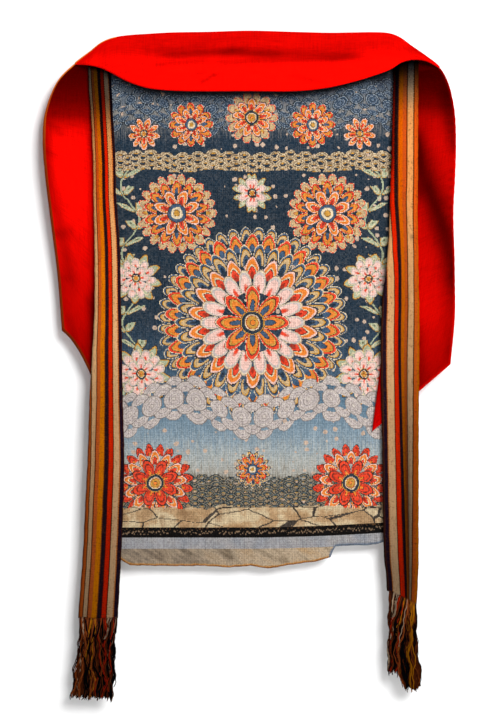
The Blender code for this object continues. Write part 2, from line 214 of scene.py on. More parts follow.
class Layer:
    """A tree of nodes, of one material or of one group."""

    def __init__(self, tree: bpy.types.NodeTree) -> None:
        """Take a tree to add nodes to."""
        self.tree = tree

    def add(
        self, kind: str, *values: object, out: int | None = 0, stops: tuple = (),
        mode: str = "CONSTANT", **settings: object,
    ) -> Socket | list[Socket]:
        """Add one node with its settings and links.

        Args:
            kind: The node's type, without the word that all types start with, and after a dot
                its main setting.
            *values: Numbers, vectors, hex colours or sockets for the inputs in use, in order.
            out: Which output in use to give back, or None for all of them.
            stops: The positions and hex colours of a colour ramp.
            mode: How that ramp goes from one colour to the next.
            **settings: Properties in lower case, and inputs by their capitalised names.

        Returns:
            The output socket, or the list of them.
        """
        kind, _, option = kind.partition(".")
        node = self.tree.nodes.new("ShaderNode" + kind)
        if option:
            setattr(node, OPTIONS[kind], option)
        for key, value in settings.items():
            if key[0].islower():
                setattr(node, key, value)
        named = [(node.inputs[k], v) for k, v in settings.items() if k[0].isupper()]
        live = [socket for socket in node.inputs if socket.enabled]
        for socket, value in [*zip(live, values), *named]:
            if isinstance(value, Socket):
                self.tree.links.new(value, socket)
            elif isinstance(value, str):
                socket.default_value = linear(value)
            elif value is not None:
                socket.default_value = value
        if stops:
            node.color_ramp.interpolation = mode
            while len(node.color_ramp.elements) < len(stops):
                node.color_ramp.elements.new(1.0)
            for element, (position, colour) in zip(node.color_ramp.elements, stops):
                element.position = position
                element.color = linear(colour)
        outputs = [socket for socket in node.outputs if socket.enabled]
        return outputs if out is None else outputs[out]

    def wave(self, way: Socket, length: float) -> Socket:
        """Give a sine wave of a length along a way."""
        turn = self.add("Math.MULTIPLY", way, math.tau / length)
        return self.add("Math.SINE", turn)

    def nest(self, draw: Callable[..., Socket], figure: object, *given: Socket) -> Socket:
        """Draw a figure in a group of its own, because a tree of hundreds of nodes builds slowly.

        Args:
            draw: What draws it, from a layer, the figure and the sockets given.
            figure: The figure's sizes and colours.
            *given: The sockets that it reads.

        Returns:
            The socket of the colour.
        """
        tree = bpy.data.node_groups.new("figure", "ShaderNodeTree")
        for socket in given:
            tree.interface.new_socket("from", in_out="INPUT", socket_type=CARRIERS[socket.type])
        tree.interface.new_socket("colour", in_out="OUTPUT", socket_type=CARRIERS["RGBA"])
        source = tree.nodes.new("NodeGroupInput")
        colour = draw(Layer(tree), figure, *source.outputs[: len(given)])
        tree.links.new(colour, tree.nodes.new("NodeGroupOutput").inputs[0])
        group = self.tree.nodes.new("ShaderNodeGroup")
        group.node_tree = tree
        for value, socket in zip(given, group.inputs):
            self.tree.links.new(value, socket)
        return group.outputs[0]


class Paint(Layer):
    """The nodes of one material."""

    def __init__(self, name: str, like: bpy.types.Material | None = None) -> None:
        """Start a material.

        Args:
            name: The material's name.
            like: A finished material to start from, if there is one.
        """
        self.material = like.copy() if like else bpy.data.materials.new(name)
        self.material.name = name
        self.material.use_nodes = True
        super().__init__(self.material.node_tree)
        self.shader = self.tree.nodes["Principled BSDF"]

    def finish(
        self, colour: Socket, height: Socket, relief: float, roughness: float, gloss: float,
        sheen: float,
    ) -> bpy.types.Material:
        """Join the pattern to the shader.

        Args:
            colour: The socket of the base colour.
            height: The socket of the surface's relief.
            relief: How high that relief stands, in metres.
            roughness: The surface's roughness.
            gloss: How much it reflects like a mirror, where 0.5 is bare plastic.
            sheen: How much fine fibre stands off it.

        Returns:
            The material.
        """
        self.shader.inputs["Roughness"].default_value = roughness
        self.shader.inputs["Specular IOR Level"].default_value = gloss
        self.shader.inputs["Sheen Weight"].default_value = sheen
        self.shader.inputs["Sheen Roughness"].default_value = 0.5
        bump = self.add("Bump", Strength=1.0, Distance=relief, Height=height)
        self.tree.links.new(colour, self.shader.inputs["Base Color"])
        self.tree.links.new(bump, self.shader.inputs["Normal"])
        return self.material


@dataclass(frozen=True)
class PetalRing:
    """One ring of petals in a rosette; radii are shares of the rosette's own."""

    inner: float
    outer: float
    count: int
    offset: float
    sharpness: float
    stops: tuple


@dataclass(frozen=True)
class ScaleBelt:
    """A belt of overlapping round scales, in millimetres below the panel's top.

    Each row lies in front of the one above. A mirrored belt has as many rows again, upside down,
    below its middle line, as in drawn clouds.
    """

    middle: float
    rows: int
    rise: float
    width: float
    lobe: float
    swell: float
    squash: float
    mirrored: bool
    stops: tuple


@dataclass(frozen=True)
class Rosette:
    """A round flower figure, in millimetres from the panel's middle line and top."""

    across: float
    down: float
    radius: float
    rings: tuple[PetalRing, ...]
    heart: tuple


LOTUS_STOPS = (
    (0.00, Dye.BRICK), (0.30, Dye.VERMILION), (0.50, Dye.OUTLINE), (0.545, Dye.CREAM),
    (0.62, Dye.ORANGE), (0.84, Dye.PINK), (0.93, Dye.OUTLINE),
)
FLAME_STOPS = (
    (0.00, Dye.STEEL), (0.40, Dye.OUTLINE), (0.45, Dye.ORANGE), (0.66, Dye.OCHRE),
    (0.76, Dye.OUTLINE), (0.80, Dye.VERMILION), (0.93, Dye.CREAM), (0.97, Dye.OUTLINE),
)
TAN_STOPS = (
    (0.00, Dye.OCHRE), (0.35, Dye.BRICK), (0.42, Dye.TAN), (0.72, Dye.STONE),
    (0.77, Dye.TAN), (0.90, Dye.VERMILION), (0.97, Dye.CREAM),
)
SPRAY_STOPS = (
    (0.00, Dye.NAVY), (0.30, Dye.STEEL), (0.46, Dye.OUTLINE), (0.50, Dye.TAN), (0.70, Dye.OCHRE),
    (0.78, Dye.OUTLINE), (0.83, Dye.STEEL), (0.94, Dye.CREAM),
)
EMBER_STOPS = (
    (0.00, Dye.ORANGE), (0.28, Dye.OUTLINE), (0.33, Dye.VERMILION), (0.62, Dye.BRICK),
    (0.70, Dye.OUTLINE), (0.75, Dye.VERMILION), (0.92, Dye.OUTLINE),
)
BLOSSOM_STOPS = (
    (0.00, Dye.VERMILION), (0.26, Dye.ROSE), (0.36, Dye.PINK), (0.78, Dye.LILAC),
    (0.90, Dye.CREAM), (0.96, Dye.STONE),
)
LEAF_STOPS = (
    (0.00, Dye.OLIVE), (0.16, Dye.SAGE), (0.52, Dye.CREAM), (0.62, Dye.SAGE),
    (0.84, Dye.OCHRE), (0.93, Dye.OUTLINE),
)
HEART_STOPS = (
    (0.00, Dye.ORANGE), (0.18, Dye.OUTLINE), (0.22, Dye.OCHRE), (0.48, Dye.BRICK),
    (0.54, Dye.CREAM), (0.64, Dye.OUTLINE), (0.68, Dye.NAVY), (0.90, Dye.OCHRE),
    (0.97, Dye.OUTLINE),
)
MOON_STOPS = (
    (0.00, Dye.OCHRE), (0.30, Dye.OUTLINE), (0.36, Dye.CREAM), (0.62, Dye.STEEL),
    (0.92, Dye.OUTLINE),
)
SKY_STOPS = (
    (0.00, "#55677A"), (0.20, "#1E2C3B"), (0.30, "#384B60"), (0.46, "#75828F"), (0.54, "#1E2C3B"),
    (0.62, "#2E4257"), (0.78, "#87929B"), (0.86, "#1A2732"),
)
BELT_STOPS = (
    (0.00, Dye.OCHRE), (0.24, "#4A3A2C"), (0.32, "#B99E78"), (0.52, "#D2BE9C"), (0.60, "#54453A"),
    (0.68, "#A98E6C"), (0.86, "#D8C6A6"), (0.93, "#3A2E28"),
)
BANK_STOPS = (
    (0.00, "#C9BEB4"), (0.16, "#8F8480"), (0.21, "#B9ADA8"), (0.38, "#C8BEB6"), (0.44, "#8F8480"),
    (0.49, "#B6ABA8"), (0.66, "#CCC1B6"), (0.71, "#978B86"), (0.76, "#BDB2AC"), (0.92, "#7A706C"),
)
SEA_STOPS = (
    (0.00, "#A8823E"), (0.22, "#2C2822"), (0.30, "#62675F"), (0.44, "#232D33"), (0.56, "#45555C"),
    (0.68, "#8F8168"), (0.80, "#20282D"),
)
GROUND_STOPS = (
    (0.00, "#1E2E3F"), (0.07, "#2E4052"), (0.12, "#56626F"), (0.16, "#827F7B"), (0.20, "#1A2F40"),
    (0.34, "#142837"), (0.56, "#182C3C"), (0.65, "#2F475C"), (0.73, "#587589"), (0.79, "#7F929E"),
    (0.835, "#A6AAA6"), (0.858, "#A29F96"), (0.88, "#766F62"), (0.93, "#9A8062"),
)


@dataclass(frozen=True)
class FiguredSilk:
    """Figured silk, woven on a drawloom in many coloured wefts.

    What gives the eye its look: colours that change thread by thread and so step at their edges,
    pale warp that grins through worn weft, a low lustre, and a ground faded by light. Its threads,
    about 0.3 mm apart, are too fine to show, so ribs and flecks are drawn some ten times as coarse.
    """

    warp_mm: float = 1.4
    weft_mm: float = 1.5
    rib_mm: float = 3.5
    pick_mm: float = 4.1
    fleck_mm: float = 2.1
    roughness: float = 0.66
    relief: float = 0.00035
    reverse_share: float = 0.62
    vine_across: float = 214.0
    vine_sway: float = 16.0
    vine_wave: float = 120.0
    vine_middle: float = 440.0
    vine_half: float = 200.0
    leaf_step: float = 30.0
    shore_at: float = 847.0
    dark_band_at: float = 870.5
    pale_strip_at: float = 888.4
    raw_cloth_at: float = 908.0
    torn_to: float = 138.0

    def make(self, name: str) -> bpy.types.Material:
        """Build the face's material.

        Args:
            name: The material's name.

        Returns:
            The material.
        """
        paint = Paint(name)
        cloth = paint.add("UVMap", uv_map="cloth")
        place = paint.add("VectorMath.MULTIPLY", cloth, (MM, MM, 0.0))
        threads = (self.warp_mm, self.weft_mm, 1.0)
        cell = paint.add("VectorMath.SNAP", place, threads)
        colour = self._figures(paint, cell)
        colour = self._foot(paint, colour, place)
        colour, height = self._weave(paint, colour, place)
        return paint.finish(colour, height, self.relief, self.roughness, gloss=0.04, sheen=0.0)

    def make_reverse(self, name: str, face: bpy.types.Material) -> bpy.types.Material:
        """Dull a copy of the face to the cloth's back, where the floats hide the figures.

        Args:
            name: The material's name.
            face: The face's material.

        Returns:
            The material.
        """
        paint = Paint(name, like=face)
        base = paint.shader.inputs["Base Color"]
        shown = base.links[0].from_socket
        dulled = paint.add("Mix.RGBA", self.reverse_share, shown, "#7C7268")
        paint.tree.links.new(dulled, base)
        return paint.material

    def _figures(self, paint: Paint, cell: Socket) -> Socket:
        """Lay the figures over the ground, from back to front.

        Args:
            paint: The material's nodes.
            cell: The socket of the thread that a point lies on, in millimetres.

        Returns:
            The socket of the colour.
        """
        add = paint.add
        wander = add("TexNoise", cell, 0.05, 2.0, 0.5, out=1)
        wander = add("VectorMath.SUBTRACT", wander, (0.5, 0.5, 0.5))
        drawn = add("VectorMath.MULTIPLY_ADD", wander, (6.0, 6.0, 0.0), cell)
        across, down, _ = add("SeparateXYZ", drawn, out=None)
        across = add("Math.ABSOLUTE", across)
        colour = self._ground(paint, cell, down)
        colour = self._dots(paint, colour, drawn)
        colour = self._vine(paint, colour, across, down)
        for belt in HIGH_BELTS:
            colour = paint.nest(self._scales, belt, colour, drawn, across, down)
        for rosette in ROSETTES:
            colour = paint.nest(self._rosette, rosette, colour, across, down)
        for belt in LOW_BELTS:
            colour = paint.nest(self._scales, belt, colour, drawn, across, down)
        for rosette in LOW_ROSETTES:
            colour = paint.nest(self._rosette, rosette, colour, across, down)
        colour = self._shore(paint, colour, drawn, down)
        patch = add("TexNoise", cell, 0.035, 3.0, 0.6)
        flecks = add("VectorMath.SNAP", cell, (self.fleck_mm,) * 3)
        thread = add("TexWhiteNoise.2D", flecks)
        worn = add("Math.MULTIPLY", thread, patch)
        worn = add("Math.MULTIPLY", worn, 0.19)
        return add("Mix.RGBA", worn, colour, "#94897C")

    def _ground(self, paint: Paint, cell: Socket, down: Socket) -> Socket:
        """Shade the ground from the sky down, through upright streaks of thread.

        Args:
            paint: The material's nodes.
            cell: The socket of the thread's place.
            down: The socket of the depth below the top.

        Returns:
            The socket of the colour.
        """
        add = paint.add
        stretched = add("VectorMath.MULTIPLY", cell, (0.9, 0.035, 1.0))
        streak = add("TexNoise", stretched, 1.0, 3.0, 0.6)
        streak = add("Math.MULTIPLY_ADD", streak, 120.0, down)
        level = add("MapRange", streak, 60.0, 960.0, 0.0, 1.0)
        return add("ValToRGB", level, stops=GROUND_STOPS, mode="LINEAR")

    def _dots(self, paint: Paint, ground: Socket, drawn: Socket) -> Socket:
        """Scatter small pale discs over the ground.

        Args:
            paint: The material's nodes.
            ground: The socket of the colour below.
            drawn: The socket of the place, in millimetres.

        Returns:
            The socket of the colour.
        """
        near = paint.add("TexVoronoi", drawn, Scale=0.056, Randomness=0.5)
        dot = paint.add("Math.LESS_THAN", near, 0.22)
        return paint.add("Mix.RGBA", dot, ground, "#BFA591")

    def _petals(
        self, paint: Layer, ring: PetalRing, ground: Socket, reach: Socket, turn: Socket
    ) -> Socket:
        """Lay one ring of petals over what is there.

        Args:
            paint: The layer's nodes.
            ring: The ring's sizes and colours.
            ground: The socket of the colour below.
            reach: The socket of the distance from the rosette's middle, as a share of its radius.
            turn: The socket of the direction from there, in turns.

        Returns:
            The socket of the colour.
        """
        add = paint.add
        beside = add("Math.MULTIPLY_ADD", turn, ring.count, ring.offset)
        beside = add("Math.FRACT", beside)
        beside = add("Math.MULTIPLY_ADD", beside, 2.0, -1.0)
        beside = add("Math.ABSOLUTE", beside)
        out = add("MapRange", reach, ring.inner, ring.outer, 0.0, 1.0, clamp=False)
        started = add("Math.GREATER_THAN", out, 0.0)
        out = add("Math.MAXIMUM", out, 0.0)
        wide = add("Math.POWER", beside, ring.sharpness)
        long = add("Math.POWER", out, ring.sharpness)
        edge = add("Math.ADD", wide, long)
        edge = add("Math.POWER", edge, 1.0 / ring.sharpness)
        inside = add("Math.LESS_THAN", edge, 1.0)
        shown = add("Math.MULTIPLY", inside, started)
        petal = add("ValToRGB", edge, stops=ring.stops)
        return add("Mix.RGBA", shown, ground, petal)

    def _rosette(
        self, paint: Layer, rosette: Rosette, ground: Socket, across: Socket, down: Socket
    ) -> Socket:
        """Lay a rosette over what is there.

        Args:
            paint: The layer's nodes.
            rosette: Its place, sizes and colours.
            ground: The socket of the colour below.
            across: The socket of the distance from the middle line.
            down: The socket of the depth below the top.

        Returns:
            The socket of the colour.
        """
        add = paint.add
        beside = add("Math.SUBTRACT", across, rosette.across)
        below = add("Math.SUBTRACT", rosette.down, down)
        spoke = add("CombineXYZ", beside, below, 0.0)
        reach = add("VectorMath.LENGTH", spoke)
        reach = add("Math.DIVIDE", reach, rosette.radius)
        turn = add("Math.ARCTAN2", beside, below)
        turn = add("Math.DIVIDE", turn, math.tau)
        for ring in rosette.rings:
            ground = self._petals(paint, ring, ground, reach, turn)
        heart_radius = rosette.rings[-1].inner
        middle = add("Math.DIVIDE", reach, heart_radius)
        inside = add("Math.LESS_THAN", middle, 1.0)
        heart = add("ValToRGB", middle, stops=rosette.heart)
        return add("Mix.RGBA", inside, ground, heart)

    def _scales(
        self, paint: Layer, belt: ScaleBelt, ground: Socket, drawn: Socket, across: Socket,
        down: Socket,
    ) -> Socket:
        """Fill a belt with rows of round scales that overlap.

        Args:
            paint: The layer's nodes.
            belt: The belt's sizes and colours.
            ground: The socket of the colour below.
            drawn: The socket of the place, in millimetres.
            across: The socket of the distance from the middle line.
            down: The socket of the depth below the top.

        Returns:
            The socket of the colour.
        """
        add = paint.add
        lift = add("Math.MULTIPLY", across, math.tau / belt.lobe)
        lift = add("Math.COSINE", lift)
        level = add("Math.MULTIPLY_ADD", lift, belt.swell, belt.middle)
        away = add("Math.SUBTRACT", level, down)
        if belt.mirrored:
            away = add("Math.ABSOLUTE", away)
        start = add("Math.SUBTRACT", belt.rows * belt.rise, away)
        side, _, _ = add("SeparateXYZ", drawn, out=None)
        row = add("Math.DIVIDE", start, belt.rise)
        row = add("Math.FLOOR", row)
        radius = belt.width / 2.0
        first = math.ceil(radius / (belt.rise * belt.squash))
        for ahead in range(1, first + 1):
            own = add("Math.ADD", row, float(ahead))
            shift = add("Math.MULTIPLY", own, 0.5)
            place = add("Math.MULTIPLY_ADD", side, 1.0 / belt.width, shift)
            number = add("Math.FLOOR", place)
            cell = add("CombineXYZ", number, own, 0.0)
            chance = add("TexWhiteNoise.2D", cell)
            size = add("Math.MULTIPLY_ADD", chance, -0.26 * radius, radius)
            place = add("Math.FRACT", place)
            beside = add("Math.MULTIPLY_ADD", place, belt.width, -radius)
            centre = add("Math.MULTIPLY", own, belt.rise)
            below = add("Math.SUBTRACT", centre, start)
            below = add("Math.MULTIPLY", below, belt.squash)
            spoke = add("CombineXYZ", beside, below, 0.0)
            reach = add("VectorMath.LENGTH", spoke)
            reach = add("Math.DIVIDE", reach, size)
            inside = add("Math.LESS_THAN", reach, 1.0)
            middle = (first + belt.rows) / 2.0
            within = add("Math.COMPARE", own, middle, belt.rows - middle + 0.5)
            shown = add("Math.MULTIPLY", inside, within)
            scale = add("ValToRGB", reach, stops=belt.stops)
            ground = add("Mix.RGBA", shown, ground, scale)
        return ground

    def _vine(self, paint: Paint, ground: Socket, across: Socket, down: Socket) -> Socket:
        """Run a leafy stem up each side.

        Args:
            paint: The material's nodes.
            ground: The socket of the colour below.
            across: The socket of the distance from the middle line.
            down: The socket of the depth below the top.

        Returns:
            The socket of the colour.
        """
        add = paint.add
        bend = paint.wave(down, self.vine_wave)
        stem = add("Math.MULTIPLY_ADD", bend, self.vine_sway, self.vine_across)
        beside = add("Math.SUBTRACT", across, stem)
        step = add("Math.DIVIDE", down, self.leaf_step)
        along = add("Math.FRACT", step)
        along = add("Math.MULTIPLY_ADD", along, self.leaf_step, -self.leaf_step / 2.0)
        away = add("Math.ABSOLUTE", beside)
        lean = add("Math.MULTIPLY_ADD", away, 0.75, along)
        away = add("Math.ADD", away, -14.0)
        leaf = add("CombineXYZ", away, lean, 0.0)
        leaf = add("VectorMath.MULTIPLY", leaf, (0.075, 0.14, 1.0))
        edge = add("VectorMath.LENGTH", leaf)
        inside = add("Math.LESS_THAN", edge, 1.0)
        blade = add("ValToRGB", edge, stops=LEAF_STOPS)
        thin = add("Math.ABSOLUTE", beside)
        thin = add("Math.LESS_THAN", thin, 1.6)
        grown = add("Math.COMPARE", down, self.vine_middle, self.vine_half)
        thin = add("Math.MULTIPLY", thin, grown)
        inside = add("Math.MULTIPLY", inside, grown)
        ground = add("Mix.RGBA", thin, ground, Dye.SAGE.value)
        return add("Mix.RGBA", inside, ground, blade)

    def _shore(self, paint: Paint, ground: Socket, drawn: Socket, down: Socket) -> Socket:
        """Lay a tan shore below the waves, with thin dark cracks.

        Args:
            paint: The material's nodes.
            ground: The socket of the colour below.
            drawn: The socket of the place, in millimetres.
            down: The socket of the depth below the top.

        Returns:
            The socket of the colour.
        """
        add = paint.add
        tone = add("TexNoise", drawn, 0.022, 4.0, 0.6)
        edge = add("Math.MULTIPLY_ADD", tone, 26.0, down)
        shown = add("Math.GREATER_THAN", edge, self.shore_at)
        sand = add(
            "ValToRGB", tone, mode="LINEAR",
            stops=((0.32, "#8C6B4A"), (0.46, "#B08F68"), (0.56, "#C9B592"), (0.68, "#9F8260")),
        )
        flat = add("VectorMath.MULTIPLY", drawn, (0.013, 0.036, 1.0))
        crack = add("TexVoronoi", flat, Scale=1.0, feature="DISTANCE_TO_EDGE")
        crack = add("Math.LESS_THAN", crack, 0.020)
        sand = add("Mix.RGBA", crack, sand, "#3A322C")
        return add("Mix.RGBA", shown, ground, sand)

    def _foot(self, paint: Paint, ground: Socket, place: Socket) -> Socket:
        """Add the woven end: a dark band, a pale strip and the raw cloth with its torn edge.

        Args:
            paint: The material's nodes.
            ground: The socket of the colour below.
            place: The socket of the place, in millimetres.

        Returns:
            The socket of the colour.
        """
        add = paint.add
        across, down, _ = add("SeparateXYZ", place, out=None)
        right = add("MapRange", across, 0.0, 240.0, 0.0, 1.0)
        bend = add("Math.POWER", right, 1.7)
        level = add("Math.MULTIPLY_ADD", bend, 9.0, down)
        upright = add("VectorMath.SNAP", place, (1.9, 4000.0, 1.0))
        thread = add("TexWhiteNoise.2D", upright)
        figure = add("Math.MULTIPLY_ADD", thread, 6.0, level)
        figure = add("MapRange", figure, 873.5, 891.5, 0.0, 1.0)
        figure = add(
            "ValToRGB", figure,
            stops=(
                (0.0, "#4A3422"), (0.08, "#0B0908"), (0.37, "#4E3C2C"), (0.44, "#7C6650"),
                (0.56, "#42342A"), (0.62, "#0B0908"),
            ),
        )
        picks = add("VectorMath.SNAP", place, (1.9, 2.8, 1.0))
        hidden = add("TexWhiteNoise.2D", picks)
        hidden = add("Math.LESS_THAN", hidden, 0.46)
        figure = add("Mix.RGBA", hidden, figure, "#0F0C0A")
        dirt = add("TexNoise", place, 0.03, 4.0, 0.6)
        pale = add("Mix.RGBA", dirt, "#6F7988", "#AAA29A")
        raw = self._raw_cloth(paint, across, down)
        starts = (self.dark_band_at, self.pale_strip_at, self.raw_cloth_at)
        for start, colour in zip(starts, (figure, pale, raw)):
            here = add("Math.GREATER_THAN", level, start)
            ground = add("Mix.RGBA", here, ground, colour)
        rim = add("UVMap", uv_map="rim")
        rim = add("VectorMath.MULTIPLY", rim, (MM, MM, 0.0))
        above, _, _ = add("SeparateXYZ", rim, out=None)
        rough = add("TexNoise", place, 0.12, 3.0, 0.6)
        above = add("Math.MULTIPLY_ADD", rough, -5.0, above)
        torn = add(
            "ValToRGB", add("MapRange", above, -3.5, 3.5, 0.0, 1.0), mode="LINEAR",
            stops=((0.0, "#5E3618"), (0.35, "#9A6230"), (0.6, "#B98850"), (1.0, "#A68E70")),
        )
        whole = add("Math.GREATER_THAN", across, self.torn_to)
        torn = add("Mix.RGBA", whole, torn, "#66707E")
        near = add("MapRange", above, 0.0, 2.8, 1.0, 0.0)
        return add("Mix.RGBA", near, ground, torn)

    def _raw_cloth(self, paint: Paint, across: Socket, down: Socket) -> Socket:
        """Colour the undyed cloth below the strip, with painted shade in slanting creases, darker
        towards the left.

        Args:
            paint: The material's nodes.
            across: The socket of the place across.
            down: The socket of the depth below the top.

        Returns:
            The socket of the colour.
        """
        add = paint.add
        # Painted shade in slanting creases.
        crease = add("Math.MULTIPLY", down, 0.86)
        crease = add("Math.MULTIPLY_ADD", across, -0.50, crease)
        crease = add("Math.MULTIPLY", crease, 0.055)
        along = add("Math.MULTIPLY", across, 0.014)
        slanted = add("CombineXYZ", crease, along, 0.0)
        fold = add("TexNoise", slanted, 1.0, 4.0, 0.6)
        cloth = add(
            "ValToRGB", fold, mode="LINEAR",
            stops=((0.34, "#544A3F"), (0.45, "#736659"), (0.55, "#94836F"), (0.66, "#6C5F52")),
        )
        lighter = add(
            "ValToRGB", fold, mode="LINEAR",
            stops=((0.34, "#84725C"), (0.50, "#AE9B82"), (0.66, "#AC8F6C")),
        )
        share = add("MapRange", across, -190.0, 60.0, 0.0, 1.0)
        return add("Mix.RGBA", share, cloth, lighter)

    def _weave(self, paint: Paint, colour: Socket, place: Socket) -> tuple[Socket, Socket]:
        """Break the colour up into threads, darken it with the painted shadow under the flap, and
        give the threads their relief.

        Args:
            paint: The material's nodes.
            colour: The socket of the colour.
            place: The socket of the place, in millimetres.

        Returns:
            The sockets of the colour and of the relief.
        """
        add = paint.add
        speck = add("VectorMath.SNAP", place, (self.fleck_mm,) * 3)
        fleck = add("TexWhiteNoise.2D", speck)
        patch = add("TexNoise", place, 0.035, 3.0, 0.6)
        stretched = add("VectorMath.MULTIPLY", place, (0.30, 0.012, 1.0))
        streak = add("TexNoise", stretched, 1.0, 4.0, 0.65)
        across, down, _ = add("SeparateXYZ", place, out=None)
        rib = paint.wave(across, self.rib_mm)
        pick = paint.wave(down, self.pick_mm)
        grid = add("Math.ADD", rib, pick)
        grid = add("Math.MULTIPLY", grid, patch)
        light = add("Math.MULTIPLY_ADD", fleck, 0.32, 0.28)
        light = add("Math.MULTIPLY_ADD", streak, 0.68, light)
        light = add("Math.MULTIPLY_ADD", grid, 0.10, light)
        shade = add("CombineColor", light, light, light)
        colour = add("Mix.RGBA", 1.0, colour, shade, blend_type="MULTIPLY")
        # Painted shadow close under the flap, from the mesh's deep attribute.
        deep = add("Attribute", attribute_name="deep", out=2)
        colour = add("Mix.RGBA", deep, colour, Dye.PAINTED_SHADOW.value)
        height = add("Math.MULTIPLY_ADD", grid, 0.5, fleck)
        return colour, height


HIGH_BELTS = (
    # middle, rows, rise, width, lobe, swell, squash, mirrored, stops
    ScaleBelt(128.0, 6, 9.0, 28.0, 190.0, -12.0, 1.2, True, SKY_STOPS),
    ScaleBelt(243.0, 7, 5.6, 27.0, 124.0, 2.5, 1.7, False, BELT_STOPS),
)
LOW_BELTS = (
    ScaleBelt(660.0, 4, 11.5, 40.0, 250.0, 18.0, 1.0, True, BANK_STOPS),
    ScaleBelt(838.0, 13, 5.0, 26.0, 320.0, 4.0, 1.8, False, SEA_STOPS),
)
ROSETTES = (
    Rosette(0.0, 150.0, 46.0, (
        PetalRing(0.55, 1.00, 14, 0.0, 2.2, TAN_STOPS),
        PetalRing(0.30, 0.78, 9, 0.5, 1.7, LOTUS_STOPS),
    ), HEART_STOPS),
    Rosette(106.0, 162.0, 40.0, (
        PetalRing(0.52, 1.00, 12, 0.5, 2.0, FLAME_STOPS),
        PetalRing(0.28, 0.76, 8, 0.0, 1.6, LOTUS_STOPS),
    ), MOON_STOPS),
    Rosette(188.0, 178.0, 30.0, (PetalRing(0.25, 1.00, 9, 0.0, 1.8, LOTUS_STOPS),), HEART_STOPS),
    Rosette(132.0, 318.0, 70.0, (
        PetalRing(0.74, 1.00, 22, 0.0, 2.0, TAN_STOPS),
        PetalRing(0.50, 0.86, 14, 0.5, 1.6, FLAME_STOPS),
        PetalRing(0.24, 0.62, 8, 0.0, 1.7, LOTUS_STOPS),
    ), MOON_STOPS),
    Rosette(0.0, 282.0, 36.0, (
        PetalRing(0.45, 1.00, 11, 0.25, 1.5, LEAF_STOPS),
        PetalRing(0.25, 0.75, 7, 0.25, 2.2, BLOSSOM_STOPS),
    ), HEART_STOPS),
    Rosette(0.0, 510.0, 168.0, (
        PetalRing(0.86, 1.00, 44, 0.0, 2.0, SPRAY_STOPS),
        PetalRing(0.74, 0.94, 30, 0.5, 1.7, FLAME_STOPS),
        PetalRing(0.60, 0.82, 30, 0.0, 1.9, SPRAY_STOPS),
        PetalRing(0.46, 0.70, 18, 0.5, 1.6, LOTUS_STOPS),
        PetalRing(0.32, 0.56, 18, 0.0, 2.1, BLOSSOM_STOPS),
        PetalRing(0.13, 0.40, 8, 0.5, 1.6, FLAME_STOPS),
    ), HEART_STOPS),
    Rosette(205.0, 432.0, 38.0, (
        PetalRing(0.55, 1.25, 9, 0.1, 1.4, LEAF_STOPS),
        PetalRing(0.50, 0.95, 11, 0.5, 2.4, BLOSSOM_STOPS),
        PetalRing(0.22, 0.62, 7, 0.2, 2.2, BLOSSOM_STOPS),
    ), HEART_STOPS),
    Rosette(198.0, 600.0, 46.0, (
        PetalRing(0.55, 1.22, 10, 0.3, 1.4, LEAF_STOPS),
        PetalRing(0.52, 0.96, 12, 0.0, 2.4, BLOSSOM_STOPS),
        PetalRing(0.22, 0.64, 8, 0.5, 2.2, BLOSSOM_STOPS),
    ), HEART_STOPS),
)
LOW_ROSETTES = (
    Rosette(176.0, 792.0, 70.0, (
        PetalRing(0.70, 1.00, 20, 0.0, 1.5, EMBER_STOPS),
        PetalRing(0.48, 0.84, 13, 0.5, 1.6, LOTUS_STOPS),
        PetalRing(0.24, 0.62, 8, 0.0, 1.8, EMBER_STOPS),
    ), HEART_STOPS),
    Rosette(0.0, 768.0, 34.0, (
        PetalRing(0.62, 1.00, 15, 0.0, 1.6, SPRAY_STOPS),
        PetalRing(0.30, 0.80, 9, 0.5, 1.7, FLAME_STOPS),
    ), MOON_STOPS),
)


